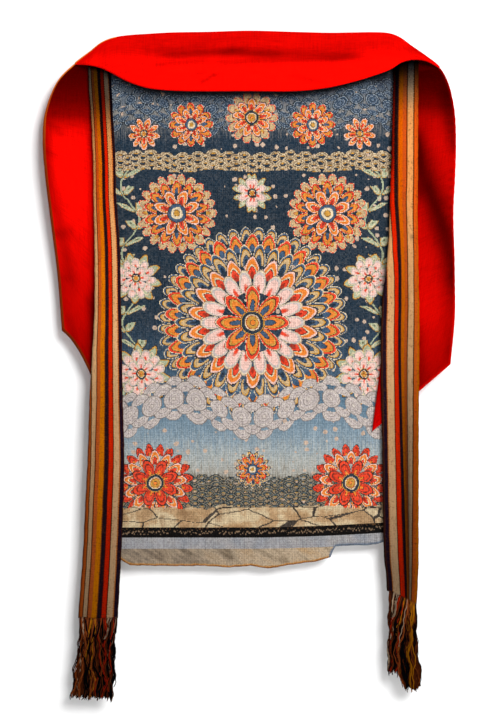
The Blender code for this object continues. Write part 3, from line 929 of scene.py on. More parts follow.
@dataclass(frozen=True)
class RedSilk:
    """Plain-woven silk dyed a strong red, used double at its turned edges.

    What gives the eye its look: an even, nearly matt red with fine slubs both ways, painted shade
    where the folds and the flap shade it, and a brown binding of oxidised gilt thread on one edge.
    """

    thread_mm: float = 0.9
    roughness: float = 0.72
    binding_mm: float = 5.0

    def make(self, name: str) -> bpy.types.Material:
        """Build the material.

        Args:
            name: The material's name.

        Returns:
            The material.
        """
        paint = Paint(name)
        add = paint.add
        cloth = add("UVMap", uv_map="cloth")
        place = add("VectorMath.MULTIPLY", cloth, (MM, MM, 0.0))
        slubs = []
        for stretch in ((0.03, 0.5, 1.0), (0.5, 0.03, 1.0)):
            drawn = add("VectorMath.MULTIPLY", place, stretch)
            slubs.append(add("TexNoise", drawn, 1.0, 3.0, 0.6))
        slub = add("Math.ADD", *slubs)
        patch = add("TexNoise", place, 0.012, 3.0, 0.5)
        tone = add("Math.MULTIPLY_ADD", patch, 0.5, slub)
        tone = add("MapRange", tone, 0.95, 1.6, 0.0, 1.0)
        colour = add(
            "ValToRGB", tone, mode="LINEAR",
            stops=((0.0, "#CC0502"), (0.5, "#EA0602"), (1.0, "#F80903")),
        )
        # Painted shade from the mesh's deep attribute, on the front faces only: under the flap, in
        # the creases and puckers and on the hem, lessened along the right rim.
        deep = add("Attribute", attribute_name="deep", out=2)
        _, facing, _ = add("SeparateXYZ", add("TexCoord", out=1), out=None)
        front = add("MapRange", facing, 0.3, -0.1, 0.0, 1.0)
        deep = add("Math.MULTIPLY", deep, front)
        colour = add("Mix.RGBA", deep, colour, "#1E0000")
        colour = self._binding(paint, colour, place)
        across, along, _ = add("SeparateXYZ", place, out=None)
        ribs = [paint.wave(way, self.thread_mm) for way in (across, along)]
        rib = add("Math.MULTIPLY", *ribs)
        height = add("Math.MULTIPLY_ADD", rib, 0.25, slub)
        return paint.finish(colour, height, 0.0003, self.roughness, gloss=0.0, sheen=0.0)

    def _binding(self, paint: Paint, colour: Socket, place: Socket) -> Socket:
        """Colour the turned edge down the left side.

        Args:
            paint: The material's nodes.
            colour: The socket of the silk's colour.
            place: The socket of the place, in millimetres.

        Returns:
            The socket of the colour.
        """
        add = paint.add
        rim = add("UVMap", uv_map="rim")
        distance, side, _ = add("SeparateXYZ", rim, out=None)
        rough = add("TexNoise", place, 0.08, 3.0, 0.6)
        _, _, up = add("SeparateXYZ", add("TexCoord", out=3), out=None)
        hidden = add("MapRange", up, -0.17, -0.09, MM, 2.4 * MM)
        distance = add("Math.MULTIPLY", distance, hidden)
        distance = add("Math.MULTIPLY_ADD", rough, 1.6, distance)
        near = add("MapRange", distance, self.binding_mm, self.binding_mm + 1.2, 1.0, 0.0)
        left = add("Math.LESS_THAN", side, 0.5)
        shown = add("Math.MULTIPLY", near, left)
        height = add("MapRange", up, -0.32, -0.06, 0.0, 1.0)
        gilt = add(
            "ValToRGB", height, mode="LINEAR",
            stops=((0.0, "#6A2408"), (0.45, "#7C2E0A"), (0.8, "#B9500F"), (1.0, "#E0741A")),
        )
        return add("Mix.RGBA", shown, colour, gilt)


@dataclass(frozen=True)
class Stripe:
    """One warp stripe of a band: its width in millimetres and its colour."""

    width_mm: float
    colour: str
    dashed: bool = False


def band_stripes(inner_cream: float, selvedge: float, gold: str) -> tuple[Stripe, ...]:
    """Lay out a band's warp, from its inner selvedge to its outer one.

    Args:
        inner_cream: The width of the inner cream stripe, in millimetres.
        selvedge: The width of the gold stripe at the outer selvedge.
        gold: The colour of the middle gold stripe.

    Returns:
        The stripes.
    """
    return (
        Stripe(1.5, "#4A2418"),
        Stripe(6.0, "#221320"),
        Stripe(1.5, "#C66A26"),
        Stripe(inner_cream, "#E0AC76"),
        Stripe(1.8, "#B01C04", dashed=True),
        Stripe(7.2, "#DE2602"),
        Stripe(0.8, "#6A1206"),
        Stripe(6.5, "#22141A"),
        Stripe(1.4, "#7A3A18"),
        Stripe(8.4, gold),
        Stripe(6.4, "#C85A22"),
        Stripe(2.1, "#9A4A1E", dashed=True),
        Stripe(9.9, "#E0AC76"),
        Stripe(2.0, "#96501E", dashed=True),
        Stripe(5.5, "#D65C1A"),
        Stripe(selvedge, "#DA6C06"),
    )


@dataclass(frozen=True)
class StripedWool:
    """Wool band woven warp-faced on a narrow loom, its stripes laid out in the warp.

    What gives the eye its look: matt, slightly hairy wool, fine upright warp ribs that beat with
    the hidden weft, and dark threads that show as dashes where only every other pick lifts them.
    The picks, about 1 mm apart, are too fine to show, so they are drawn some four times as coarse.
    """

    stripes: tuple[Stripe, ...]
    warp_mm: float = 0.9
    weft_mm: float = 4.2
    step_mm: float = 0.45
    roughness: float = 0.92

    @property
    def width_mm(self) -> float:
        """Give the band's width when flat."""
        return sum(stripe.width_mm for stripe in self.stripes)

    def make(self, name: str) -> bpy.types.Material:
        """Build the material.

        Args:
            name: The material's name.

        Returns:
            The material.
        """
        paint = Paint(name)
        add = paint.add
        cloth = add("UVMap", uv_map="cloth")
        place = add("VectorMath.MULTIPLY", cloth, (MM, MM, 0.0))
        wander = add("TexNoise", place, 0.03, 2.0, 0.5)
        wander = add("Math.MULTIPLY_ADD", wander, 1.4, -0.7)
        across, along, _ = add("SeparateXYZ", place, out=None)
        beat = paint.wave(along, self.weft_mm)
        straight = add("Math.ADD", across, wander)
        straight = add("Math.MULTIPLY_ADD", beat, self.step_mm, straight)
        share = add("Math.DIVIDE", straight, self.width_mm)
        stops, dashes, edge = [], [], 0.0
        for stripe in self.stripes:
            stops.append((edge / self.width_mm, stripe.colour))
            dashes.append((edge / self.width_mm, "#FFFFFF" if stripe.dashed else "#000000"))
            edge += stripe.width_mm
        colour = add("ValToRGB", share, stops=tuple(stops))
        dashed = add("ValToRGB", share, stops=tuple(dashes))
        lifted = add("Math.GREATER_THAN", beat, -0.55)
        shown = add("Math.MULTIPLY", dashed, lifted)
        colour = add("Mix.RGBA", shown, colour, "#0E0706")
        _, _, up = add("SeparateXYZ", add("TexCoord", out=3), out=None)
        height = add("MapRange", up, -0.56, -0.10, 0.0, 1.0)
        # Painted reflected light: the part below the flap is tinted warmer, as if lit by light off
        # the red cloth.
        painted_warm_light = add(
            "ValToRGB", height, mode="LINEAR",
            stops=((0.0, "#FFFFFF"), (0.45, "#FFEEDD"), (0.6, "#FFDFBC"), (0.9, "#FFDDB8"),
                   (1.0, "#FFFFFF")),
        )
        colour = add("Mix.RGBA", 1.0, colour, painted_warm_light, blend_type="MULTIPLY")
        threads = (self.warp_mm, self.weft_mm / 2.0, 1.0)
        cell = add("VectorMath.SNAP", place, threads)
        fleck = add("TexWhiteNoise.2D", cell)
        specks = add("VectorMath.SNAP", place, (1.9, self.weft_mm / 2.0, 1.0))
        speck = add("TexWhiteNoise.2D", specks)
        speck = add("MapRange", speck, 0.86, 1.0, 0.0, 0.55)
        colour = add("Mix.RGBA", speck, colour, "#5A3018")
        drawn = add("VectorMath.MULTIPLY", place, (0.8, 0.02, 1.0))
        streak = add("TexNoise", drawn, 1.0, 3.0, 0.6)
        light = add("Math.MULTIPLY_ADD", fleck, 0.22, 0.55)
        light = add("Math.MULTIPLY_ADD", streak, 0.70, light)
        deep = add("Attribute", attribute_name="deep", out=2)
        # The painted shade and stains take out red faster than blue, so the cream stripes go grey
        # in them.
        kept = add("Math.SUBTRACT", 1.0, deep)
        parts = []
        for hold in (1.0, 0.90, 0.72):
            held = add("Math.POWER", kept, hold)
            parts.append(add("Math.MULTIPLY", light, held))
        shade = add("CombineColor", *parts)
        colour = add("Mix.RGBA", 1.0, colour, shade, blend_type="MULTIPLY")
        rib = paint.wave(across, self.warp_mm)
        height = add("Math.MULTIPLY_ADD", beat, 0.35, fleck)
        height = add("Math.MULTIPLY_ADD", rib, 0.5, height)
        return paint.finish(colour, height, 0.0004, self.roughness, gloss=0.0, sheen=0.0)


@dataclass(frozen=True)
class PliedYarn:
    """Wool warp yarn of two plies, left loose below the weaving.

    What gives the eye its look: slanting plies that catch the light in turn, helped by painted
    light and shade on them, a soft fuzz, and painted shade among the yarns that darkens all but the
    roots.
    """

    ply_mm: float = 3.6
    roughness: float = 0.95
    # Where the painted shade among the yarns is full, and how much light the yarn keeps there.
    shaded_from: float = 0.035
    shaded_light: float = 0.60

    def make(self, name: str) -> bpy.types.Material:
        """Build the material.

        Args:
            name: The material's name.

        Returns:
            The material.
        """
        paint = Paint(name)
        add = paint.add
        yarn = add("UVMap", uv_map="cloth")
        along, around, _ = add("SeparateXYZ", yarn, out=None)
        turn = add("Math.MULTIPLY_ADD", along, MM / self.ply_mm, around)
        turn = add("Math.MULTIPLY", turn, math.tau * 2.0)
        ply = add("Math.SINE", turn)
        point = add("TexCoord", out=3)
        fuzz = add("TexNoise", point, 900.0, 3.0, 0.6)
        # Painted light and shade on the plies, with the fuzz's random tone.
        light = add("Math.MULTIPLY_ADD", ply, 0.16, 0.62)
        light = add("Math.MULTIPLY_ADD", fuzz, 0.5, light)
        # Painted shade among the yarns, which darkens them below the roots.
        lighter = add("MapRange", along, 0.0, self.shaded_from, 1.0, self.shaded_light)
        light = add("Math.MULTIPLY", light, lighter)
        own = add("Attribute", attribute_name="dye", out=0)
        shade = add("CombineColor", light, light, light)
        colour = add("Mix.RGBA", 1.0, own, shade, blend_type="MULTIPLY")
        height = add("Math.MULTIPLY_ADD", fuzz, 0.4, ply)
        return paint.finish(colour, height, 0.0004, self.roughness, gloss=0.0, sheen=0.0)


def make_active(obj: bpy.types.Object) -> None:
    """Select one object alone and make it active."""
    bpy.ops.object.select_all(action="DESELECT")
    obj.select_set(True)
    bpy.context.view_layer.objects.active = obj


def write_map(mesh: bpy.types.Mesh, name: str, values: np.ndarray) -> None:
    """Write a UV map from one pair of numbers to a vertex.

    Args:
        mesh: The mesh.
        name: The map's name.
        values: The pairs, in the order of the vertices.
    """
    corners = np.empty(len(mesh.loops), int)
    mesh.loops.foreach_get("vertex_index", corners)
    layer = mesh.uv_layers.get(name) or mesh.uv_layers.new(name=name)
    layer.data.foreach_set("uv", values[corners].astype(np.float32).ravel())


def weave_sheet(
    name: str,
    points: np.ndarray,
    maps: dict[str, np.ndarray],
    thickness: float,
    materials: list[bpy.types.Material],
    deep: np.ndarray | None = None,
    kept: np.ndarray | None = None,
) -> bpy.types.Object:
    """Make a thin cloth from a grid of points through its middle.

    Args:
        name: The piece's name.
        points: The points, as [column][row].
        maps: UV maps in metres, by name, each [column][row] pairs.
        thickness: The cloth's thickness.
        materials: The material of the back, and of the front if it differs.
        deep: How much darker the colour is at each point, from painted shade and stains, if it
            differs.
        kept: Which faces are part of the cloth, as [column][row], if not all are.

    Returns:
        The finished piece.
    """
    columns, rows = points.shape[0] - 1, points.shape[1] - 1
    bpy.ops.object.select_all(action="DESELECT")
    bpy.ops.mesh.primitive_grid_add(x_subdivisions=columns, y_subdivisions=rows, size=2.0)
    obj = bpy.context.active_object
    obj.name = name
    mesh = obj.data
    mesh.name = name
    ordered = points.transpose(1, 0, 2).reshape(-1, 3)
    mesh.vertices.foreach_set("co", ordered.astype(np.float32).ravel())
    mesh.uv_layers.remove(mesh.uv_layers[0])
    for map_name, values in maps.items():
        write_map(mesh, map_name, values.transpose(1, 0, 2).reshape(-1, 2))
    if deep is not None:
        attribute = mesh.attributes.new("deep", "FLOAT", "POINT")
        attribute.data.foreach_set("value", deep.T.astype(np.float32).ravel())
    for material in materials:
        mesh.materials.append(material)
    if kept is not None:
        bpy.ops.object.mode_set(mode="EDIT")
        bpy.ops.mesh.select_mode(type="FACE")
        bpy.ops.mesh.select_all(action="DESELECT")
        bpy.ops.object.mode_set(mode="OBJECT")
        mesh.polygons.foreach_set("select", ~kept.T.ravel())
        bpy.ops.object.mode_set(mode="EDIT")
        bpy.ops.mesh.delete(type="FACE")
        bpy.ops.object.mode_set(mode="OBJECT")
    make_active(obj)
    solidify = obj.modifiers.new("cloth", "SOLIDIFY")
    solidify.thickness = thickness
    solidify.offset = 0.0
    solidify.material_offset = len(materials) - 1
    bpy.ops.object.modifier_apply(modifier=solidify.name)
    bpy.ops.object.shade_smooth()
    return obj


def hand_over(obj: bpy.types.Object, node: str) -> None:
    """Let a finished piece stand for a node, and report it.

    Args:
        obj: The piece.
        node: The node that it replaces.
    """
    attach(obj, BODY)
    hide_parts(node)
    LOG.info("%s: %d faces", obj.name, len(obj.data.polygons))


@dataclass(frozen=True)
class Crease:
    """A soft trough or ridge in a cloth, as seen from the front, with painted shade along it."""

    x: float
    z: float
    heading: float
    length: float
    width: float
    push: float
    painted_shade: float

    def strength(self, x: np.ndarray, z: np.ndarray) -> np.ndarray:
        """Give how much of the crease is felt at each place.

        Args:
            x: The places in X.
            z: The places in Z.

        Returns:
            1 on its line, falling off to 0 around it.
        """
        angle = math.radians(self.heading)
        along = (x - self.x) * math.cos(angle) + (z - self.z) * math.sin(angle)
        across = (z - self.z) * math.cos(angle) - (x - self.x) * math.sin(angle)
        ends = ease((self.length / 2.0 - np.abs(along)) / (self.length / 4.0) + 0.5)
        return np.exp(-((across / self.width) ** 2)) * ends


@dataclass(frozen=True)
class FlapShade:
    """The painted shadow on the cloth close under the flap: a dark line that widens at the right
    corner.
    """

    fold: np.ndarray
    width: float = 0.0042
    depth: float = 0.95
    corner_x: float = 0.205
    corner_reach: float = 0.030
    corner_width: float = 0.020

    def line_on(self, points: np.ndarray) -> np.ndarray:
        """Say how dark the painted shadow makes a cloth.

        Args:
            points: The cloth's points.

        Returns:
            How much the painted shadow darkens the colour at each point.
        """
        fold_z = np.interp(points[..., 0], self.fold[:, 0], self.fold[:, 1])
        below = np.maximum(fold_z - points[..., 2], 0.0)
        corner = ease((points[..., 0] - self.corner_x) / self.corner_reach)
        return self.depth * np.exp(-((below / (self.width + self.corner_width * corner)) ** 2))


def levels_at(z: np.ndarray, levels: tuple) -> np.ndarray:
    """Read a table of heights.

    Args:
        z: The heights to read at.
        levels: Pairs of a height and a value, from the top down.

    Returns:
        The values there.
    """
    table = np.array(levels)[::-1]
    return np.interp(z, table[:, 0], table[:, 1])


def row_at(z: float, table: tuple | np.ndarray) -> np.ndarray:
    """Read one row of a table whose first column is a height.

    Args:
        z: The height to read at.
        table: The rows, from the top down.

    Returns:
        The other columns there.
    """
    rows = np.array(table)[::-1]
    return np.array([np.interp(z, rows[:, 0], column) for column in rows.T[1:]])


# The creases' columns: x, z, heading, length, width, push, and how dark their painted shade is.
FLAP_CREASES = (
    Crease(-0.084, -0.0400, 3.0, 0.150, 0.0078, 0.0016, 0.50),
    Crease(0.000, -0.0410, -4.0, 0.110, 0.0082, 0.0014, 0.28),
    Crease(0.090, -0.0430, -2.0, 0.200, 0.0092, 0.0016, 0.44),
    Crease(-0.130, -0.0310, 8.0, 0.120, 0.0060, 0.0006, 0.18),
    Crease(0.180, -0.0260, 4.0, 0.120, 0.0060, 0.0006, 0.10),
    Crease(-0.070, -0.0160, 1.0, 0.200, 0.0036, 0.0005, 0.10),
    Crease(-0.120, -0.0590, 4.0, 0.090, 0.0050, -0.0008, 0.30),
    Crease(-0.073, -0.0865, 32.0, 0.032, 0.0040, 0.0009, 0.42),
    Crease(-0.090, -0.0790, 20.0, 0.028, 0.0046, 0.0006, 0.24),
    Crease(-0.056, -0.0830, -20.0, 0.018, 0.0044, 0.0006, 0.18),
    Crease(0.318, -0.0530, -36.0, 0.090, 0.0120, 0.0000, 0.26),
    Crease(0.100, -0.0880, -14.0, 0.060, 0.0040, 0.0006, 0.26),
    Crease(0.060, -0.0545, 2.0, 0.240, 0.0060, 0.0006, 0.34),
)
TAIL_CREASES = (
    Crease(-0.345, -0.168, -40.0, 0.050, 0.0060, -0.0008, 0.20),
    Crease(-0.350, -0.215, -20.0, 0.030, 0.0050, 0.0006, 0.20),
    Crease(-0.330, -0.352, 6.0, 0.040, 0.0060, 0.0008, 0.34),
    Crease(-0.318, -0.362, -14.0, 0.050, 0.0050, 0.0006, 0.16),
    Crease(-0.322, -0.433, -10.0, 0.026, 0.0060, 0.0008, 0.26),
    Crease(-0.345, -0.300, -78.0, 0.300, 0.0130, 0.0010, 0.38),
    Crease(-0.330, -0.470, -75.0, 0.160, 0.0100, 0.0008, 0.26),
    Crease(-0.276, -0.330, -89.0, 0.380, 0.0085, 0.0008, 0.46),
    Crease(-0.276, -0.540, -88.0, 0.160, 0.0100, 0.0008, 0.55),
    Crease(-0.357, -0.235, -90.0, 0.140, 0.0100, 0.0006, 0.38),
    Crease(0.298, -0.235, -89.0, 0.120, 0.0090, 0.0008, 0.45),
    Crease(0.327, -0.315, -72.0, 0.300, 0.0270, 0.0024, 0.84),
    Crease(0.330, -0.315, -66.0, 0.110, 0.0090, 0.0006, 0.30),
    Crease(0.356, -0.500, -90.0, 0.160, 0.0200, 0.0008, 0.42),
    Crease(0.352, -0.155, -80.0, 0.120, 0.0160, 0.0008, 0.60),
    Crease(0.345, -0.300, -35.0, 0.030, 0.0070, -0.0006, 0.16),
    Crease(0.318, -0.415, 4.0, 0.040, 0.0040, 0.0005, 0.12),
    Crease(0.299, -0.570, -88.0, 0.120, 0.0080, 0.0006, 0.30),
)


@dataclass
class CoverCloth:
    """The red cover: one cloth with two tails and a flap drawn up over the top."""

    silk: RedSilk
    thickness: float = 0.0010
    back_y: float = 0.006
    crest_radius: float = 0.005
    hem_radius: float = 0.003
    crest_share: float = 0.28
    hem_share: float = 0.20
    full_at: float = 0.80
    foot_draw_in: float = 0.06
    trough_at: float = 0.40
    trough_width: float = 0.15
    trough_depth: float = 0.0045
    trough_half_length: float = 0.150
    trough_fade: float = 0.060
    flat_share: float = 0.25
    section_steps: int = 12
    back_steps: int = 26
    crest_steps: int = 8
    front_steps: int = 40
    fold_steps: int = 8
    turn_up_steps: int = 5
    band_reach: float = 0.300
    pucker_pitch: float = 0.0165
    pucker_push: float = 0.0008
    pucker_draw: float = 0.0003
    # Painted shade in the puckers, a painted highlight along the right rim, and painted shadow
    # under the flap and on its hem.
    pucker_shade: float = 0.55
    binding_rows: float = 3.4
    hem_light: float = 0.40
    hem_reach: float = 0.0020
    shade_reach: float = 0.020
    under_shade: float = 0.96
    hem_shade: float = 0.85
    # How much painted shade darkens the cloth by height: on the left tail, the right tail and the
    # flap.
    left_levels: tuple = (
        (-0.078, 0.95), (-0.095, 0.93), (-0.122, 0.88), (-0.148, 0.75), (-0.160, 0.50),
        (-0.174, 0.22), (-0.190, 0.06), (-0.205, 0.00), (-0.300, 0.02), (-0.340, 0.12),
        (-0.430, 0.30), (-0.515, 0.48), (-0.550, 0.62), (-0.580, 0.74), (-0.650, 0.80),
    )
    right_levels: tuple = (
        (-0.078, 0.98), (-0.104, 0.95), (-0.130, 0.88), (-0.157, 0.64), (-0.192, 0.47),
        (-0.262, 0.50), (-0.402, 0.47), (-0.472, 0.44), (-0.507, 0.46), (-0.550, 0.58),
        (-0.585, 0.67), (-0.612, 0.73), (-0.650, 0.62), (-0.700, 0.50),
    )
    flap_levels: tuple = ((0.000, 0.34), (-0.034, 0.33), (-0.046, 0.18), (-0.058, 0.00))
    # Rows from a tail's foot up to the flap: the outer edge, the inner edge, the bow of a section
    # and how far its outer part stands back.
    left_tail: tuple = (
        # outer_x, outer_z, inner_x, inner_z, bow, wave_y
        (-0.331, -0.525, -0.262, -0.650, 0.019, 0.0050),
        (-0.339, -0.425, -0.256, -0.540, 0.010, 0.0040),
        (-0.350, -0.335, -0.252, -0.420, 0.000, 0.0000),
        (-0.360, -0.250, -0.254, -0.310, 0.000, -0.0045),
        (-0.364, -0.190, -0.256, -0.220, 0.000, -0.0035),
        (-0.3595, -0.140, -0.258, -0.145, 0.000, 0.0010),
        (-0.3395, -0.0885, -0.257, -0.095, 0.000, 0.0015),
    )
    right_tail: tuple = (
        # outer_x, outer_z, inner_x, inner_z, bow, wave_y
        (0.350, -0.095, 0.268, -0.100, 0.000, 0.0015),
        (0.360, -0.140, 0.268, -0.150, 0.000, 0.0050),
        (0.362, -0.190, 0.267, -0.215, 0.000, 0.0020),
        (0.360, -0.250, 0.262, -0.290, 0.000, -0.0040),
        (0.357, -0.320, 0.256, -0.370, 0.000, -0.0030),
        (0.360, -0.415, 0.245, -0.470, 0.000, 0.0020),
        (0.360, -0.500, 0.229, -0.585, 0.000, 0.0035),
        (0.352, -0.584, 0.214, -0.702, 0.000, 0.0010),
    )
    # Rows across the flap: the top edge, the back layer's inner edge, the lower fold, the front
    # just below the crest, the front just above the fold, and how far the cloth goes up inside.
    flap: tuple = (
        # outer_x, outer_z, inner_x, inner_z, fold_x, fold_z, crest_y, belly_y, turn_up
        (-0.308, -0.056, -0.251, -0.066, -0.3066, -0.0580, 0.0035, 0.0030, 0.0008),
        (-0.281, -0.036, -0.238, -0.060, -0.284, -0.061, -0.0040, -0.0100, 0.0060),
        (-0.262, -0.021, -0.225, -0.057, -0.262, -0.066, -0.0050, -0.0125, 0.0140),
        (-0.242, -0.0125, -0.210, -0.054, -0.241, -0.076, -0.0055, -0.0160, 0.0250),
        (-0.215, -0.008, -0.190, -0.052, -0.215, -0.090, -0.0060, -0.0185, 0.0400),
        (-0.180, -0.0055, -0.170, -0.050, -0.180, -0.102, -0.0060, -0.0200, 0.0500),
        (-0.135, -0.003, -0.135, -0.048, -0.135, -0.107, -0.0060, -0.0210, 0.0550),
        (-0.075, -0.002, -0.075, -0.046, -0.075, -0.108, -0.0060, -0.0200, 0.0550),
        (0.000, 0.000, 0.000, -0.046, 0.000, -0.108, -0.0060, -0.0220, 0.0550),
        (0.075, -0.002, 0.075, -0.046, 0.075, -0.108, -0.0060, -0.0205, 0.0550),
        (0.135, -0.0035, 0.135, -0.048, 0.132, -0.1025, -0.0060, -0.0215, 0.0550),
        (0.180, -0.003, 0.172, -0.050, 0.178, -0.092, -0.0060, -0.0200, 0.0450),
        (0.215, -0.0025, 0.198, -0.050, 0.214, -0.081, -0.0060, -0.0180, 0.0350),
        (0.242, -0.004, 0.215, -0.051, 0.243, -0.070, -0.0055, -0.0155, 0.0230),
        (0.262, -0.011, 0.228, -0.052, 0.264, -0.057, -0.0050, -0.0135, 0.0120),
        (0.283, -0.026, 0.240, -0.054, 0.285, -0.052, -0.0045, -0.0120, 0.0060),
        (0.308, -0.0435, 0.253, -0.058, 0.309, -0.0545, -0.0045, -0.0085, 0.0030),
        (0.333, -0.063, 0.264, -0.072, 0.3318, -0.0644, 0.0035, 0.0030, 0.0008),
    )

    def build(self) -> bpy.types.Object:
        """Make the cover.

        Returns:
            The piece.
        """
        points, first, last = self._points()
        deep = self._press_creases(points, first, last)
        steps = self.back_steps
        shoulder = first + int(self.binding_rows * self.section_steps)
        crest = points[first + 1 : shoulder + 1, steps + self.crest_steps // 2]
        left_rim = np.vstack([points[0, : steps + 1], points[: first + 1, steps], crest])
        right_rim = np.vstack([points[last:, steps], points[-1, steps::-1]])
        to_left = distance_to_line(points, left_rim)
        to_right = distance_to_line(points, right_rim)
        on_tail = np.arange(len(points))[:, None] * np.ones(points.shape[1])
        left = on_tail <= shoulder
        right = on_tail >= last
        rim = np.where(left, to_left, np.where(right, to_right, 0.1))
        side = np.where(left, 0.0, 1.0)
        # Painted shade in the puckers' troughs, and a painted highlight along the right tail's rim.
        deep = 1.0 - (1.0 - deep) * self._pucker(points, to_right, right)
        deep *= 1.0 - self.hem_light * np.exp(-((to_right / self.hem_reach) ** 2)) * right
        across = lengths_along(points[:, steps : steps + 1], 0) * np.ones(points.shape[1])
        maps = {
            "cloth": np.stack([across, lengths_along(points, 1)], axis=-1),
            "rim": np.stack([rim, side], axis=-1),
        }
        kept = np.zeros((points.shape[0] - 1, points.shape[1] - 1), bool)
        kept[:, :steps] = True
        kept[first:last] = True
        silk = self.silk.make("red_silk_plain_weave")
        obj = weave_sheet("red_cover", points, maps, self.thickness, [silk], deep, kept)
        hand_over(obj, "cover_cloth")
        return obj

    def fold_line(self) -> np.ndarray:
        """Give X and Z along the flap's lower fold."""
        return smooth_rows(self.flap, self.section_steps)[:, 4:6]

    def _points(self) -> tuple[np.ndarray, int, int]:
        """Work out the middle of the cloth.

        Returns:
            Points as [column][row], and the first and last column of the flap.
        """
        flap_edges = [(*row[:4], 0.0, 0.0) for row in self.flap]
        edges = smooth_rows([*self.left_tail, *flap_edges, *self.right_tail], self.section_steps)
        flap = smooth_rows(self.flap, self.section_steps)
        first = self.section_steps * len(self.left_tail)
        last = first + len(flap) - 1
        along = np.gradient(edges[:, :2], axis=0)
        normals = np.stack([-along[:, 1], along[:, 0]], axis=1)
        normals /= np.linalg.norm(normals, axis=1, keepdims=True)
        flap_rows = self.crest_steps + self.front_steps + self.fold_steps + self.turn_up_steps
        sections = []
        for column, row in enumerate(edges):
            edge = row[:2]
            if first <= column <= last:
                own = flap[column - first]
                drop = np.linalg.norm(edge - own[4:6])
                crest_radius = min(self.crest_radius, self.crest_share * drop)
                section = self._back(edge - normals[column] * crest_radius, row)
                section += self._flap(own, edge, normals[column], drop)
            else:
                section = self._back(edge, row)
                section += [section[-1]] * flap_rows
            sections.append(section)
        return np.array(sections), first, last

    def _back(self, edge: np.ndarray, row: np.ndarray) -> list:
        """Make one section of the back layer or of a tail.

        Args:
            edge: Where the section ends, in X and Z.
            row: The table's row.

        Returns:
            Its points, from the inner edge out.
        """
        inner, bow, wave_y = row[2:4], row[4], row[5]
        points = []
        for t in np.linspace(0.0, 1.0, self.back_steps + 1):
            x, z = inner + (edge - inner) * t
            z += bow * 4.0 * t * (1.0 - t)
            y = self.back_y + wave_y * ease((t - self.flat_share) / (1.0 - self.flat_share))
            points.append((x, y, z))
        return points

    def _flap(self, row: np.ndarray, crest: np.ndarray, normal: np.ndarray, drop: float) -> list:
        """Make one section of the flap: over the crest, down the front and up inside.

        Args:
            row: The flap table's row.
            crest: The crest's point, in X and Z.
            normal: The way out of the cloth's outline there.
            drop: The section's length from crest to fold.

        Returns:
            Its points.
        """
        fold, (crest_y, belly_y, turn_up) = row[4:6], row[6:9]
        crest_radius = min(self.crest_radius, self.crest_share * drop)
        hem_radius = min(self.hem_radius, self.hem_share * drop)
        up = (crest - fold) / drop
        start = crest - normal * crest_radius
        end = fold + up * hem_radius
        middle_y = (self.back_y + crest_y) / 2.0
        half_depth = (self.back_y - crest_y) / 2.0
        points = []
        for step in range(1, self.crest_steps + 1):
            angle = math.pi * step / self.crest_steps
            x, z = start + normal * crest_radius * math.sin(angle)
            points.append((x, middle_y + half_depth * math.cos(angle), z))

        def front(share: float) -> tuple[float, float, float]:
            """Give the point of the front at a share of the way down."""
            x, z = start + (end - start) * share
            below = (share - self.full_at) / (1.0 - self.full_at)
            fullness = ease(share / self.full_at) - self.foot_draw_in * ease(below)
            y = crest_y + (belly_y - crest_y) * fullness
            trough = math.exp(-(((share - self.trough_at) / self.trough_width) ** 2))
            reach = ease((self.trough_half_length - abs(x)) / self.trough_fade + 0.5)
            return x, y + self.trough_depth * trough * reach, z

        points += [front(step / self.front_steps) for step in range(1, self.front_steps + 1)]
        low_y = points[-1][1]
        for step in range(1, self.fold_steps + 1):
            angle = math.pi * step / self.fold_steps
            x, z = end - up * hem_radius * math.sin(angle)
            points.append((x, low_y + hem_radius * (1.0 - math.cos(angle)), z))
        for step in range(1, self.turn_up_steps + 1):
            rise = turn_up * step / self.turn_up_steps
            x, z = end + up * rise
            inside_y = front(1.0 - rise / np.linalg.norm(start - end))[1]
            points.append((x, inside_y + 2.0 * hem_radius, z))
        return points

    def _press_creases(self, points: np.ndarray, first: int, last: int) -> np.ndarray:
        """Push the creases into the cloth, and work out its painted shade.

        Args:
            points: The cloth's points, which are moved.
            first: The flap's first column.
            last: The flap's last column.

        Returns:
            How much painted shade darkens the colour at each point.
        """
        steps = self.back_steps
        fold = steps + self.crest_steps + self.front_steps
        front = (slice(first, last + 1), slice(steps, fold + self.fold_steps // 2))
        left = (slice(None, first), slice(0, steps + 1))
        right = (slice(last + 1, None), slice(0, steps + 1))
        kept = np.ones(points.shape[:2])
        for part, creases, levels in (
            (front, FLAP_CREASES, self.flap_levels),
            (left, TAIL_CREASES, self.left_levels),
            (right, TAIL_CREASES, self.right_levels),
        ):
            x, z = points[part][..., 0], points[part][..., 2]
            kept[part] *= 1.0 - levels_at(z, levels)
            free = 1.0 if part is front else ease((np.abs(x) - self.band_reach) / 0.012)
            for crease in creases:
                felt = crease.strength(x, z)
                points[part][..., 1] += crease.push * felt * free
                kept[part] *= 1.0 - crease.painted_shade * felt
        # Painted shadow under the flap's fold, and painted shade on the hem.
        under = points[first : last + 1, : steps + 1]
        fold_z = np.interp(under[..., 0], *self.fold_line().T)
        near = ease((fold_z - under[..., 2]) / self.shade_reach + 1.0)
        kept[first : last + 1, : steps + 1] *= 1.0 - self.under_shade * near
        kept[first : last + 1, fold + self.fold_steps // 2 :] *= 1.0 - self.hem_shade
        return 1.0 - kept

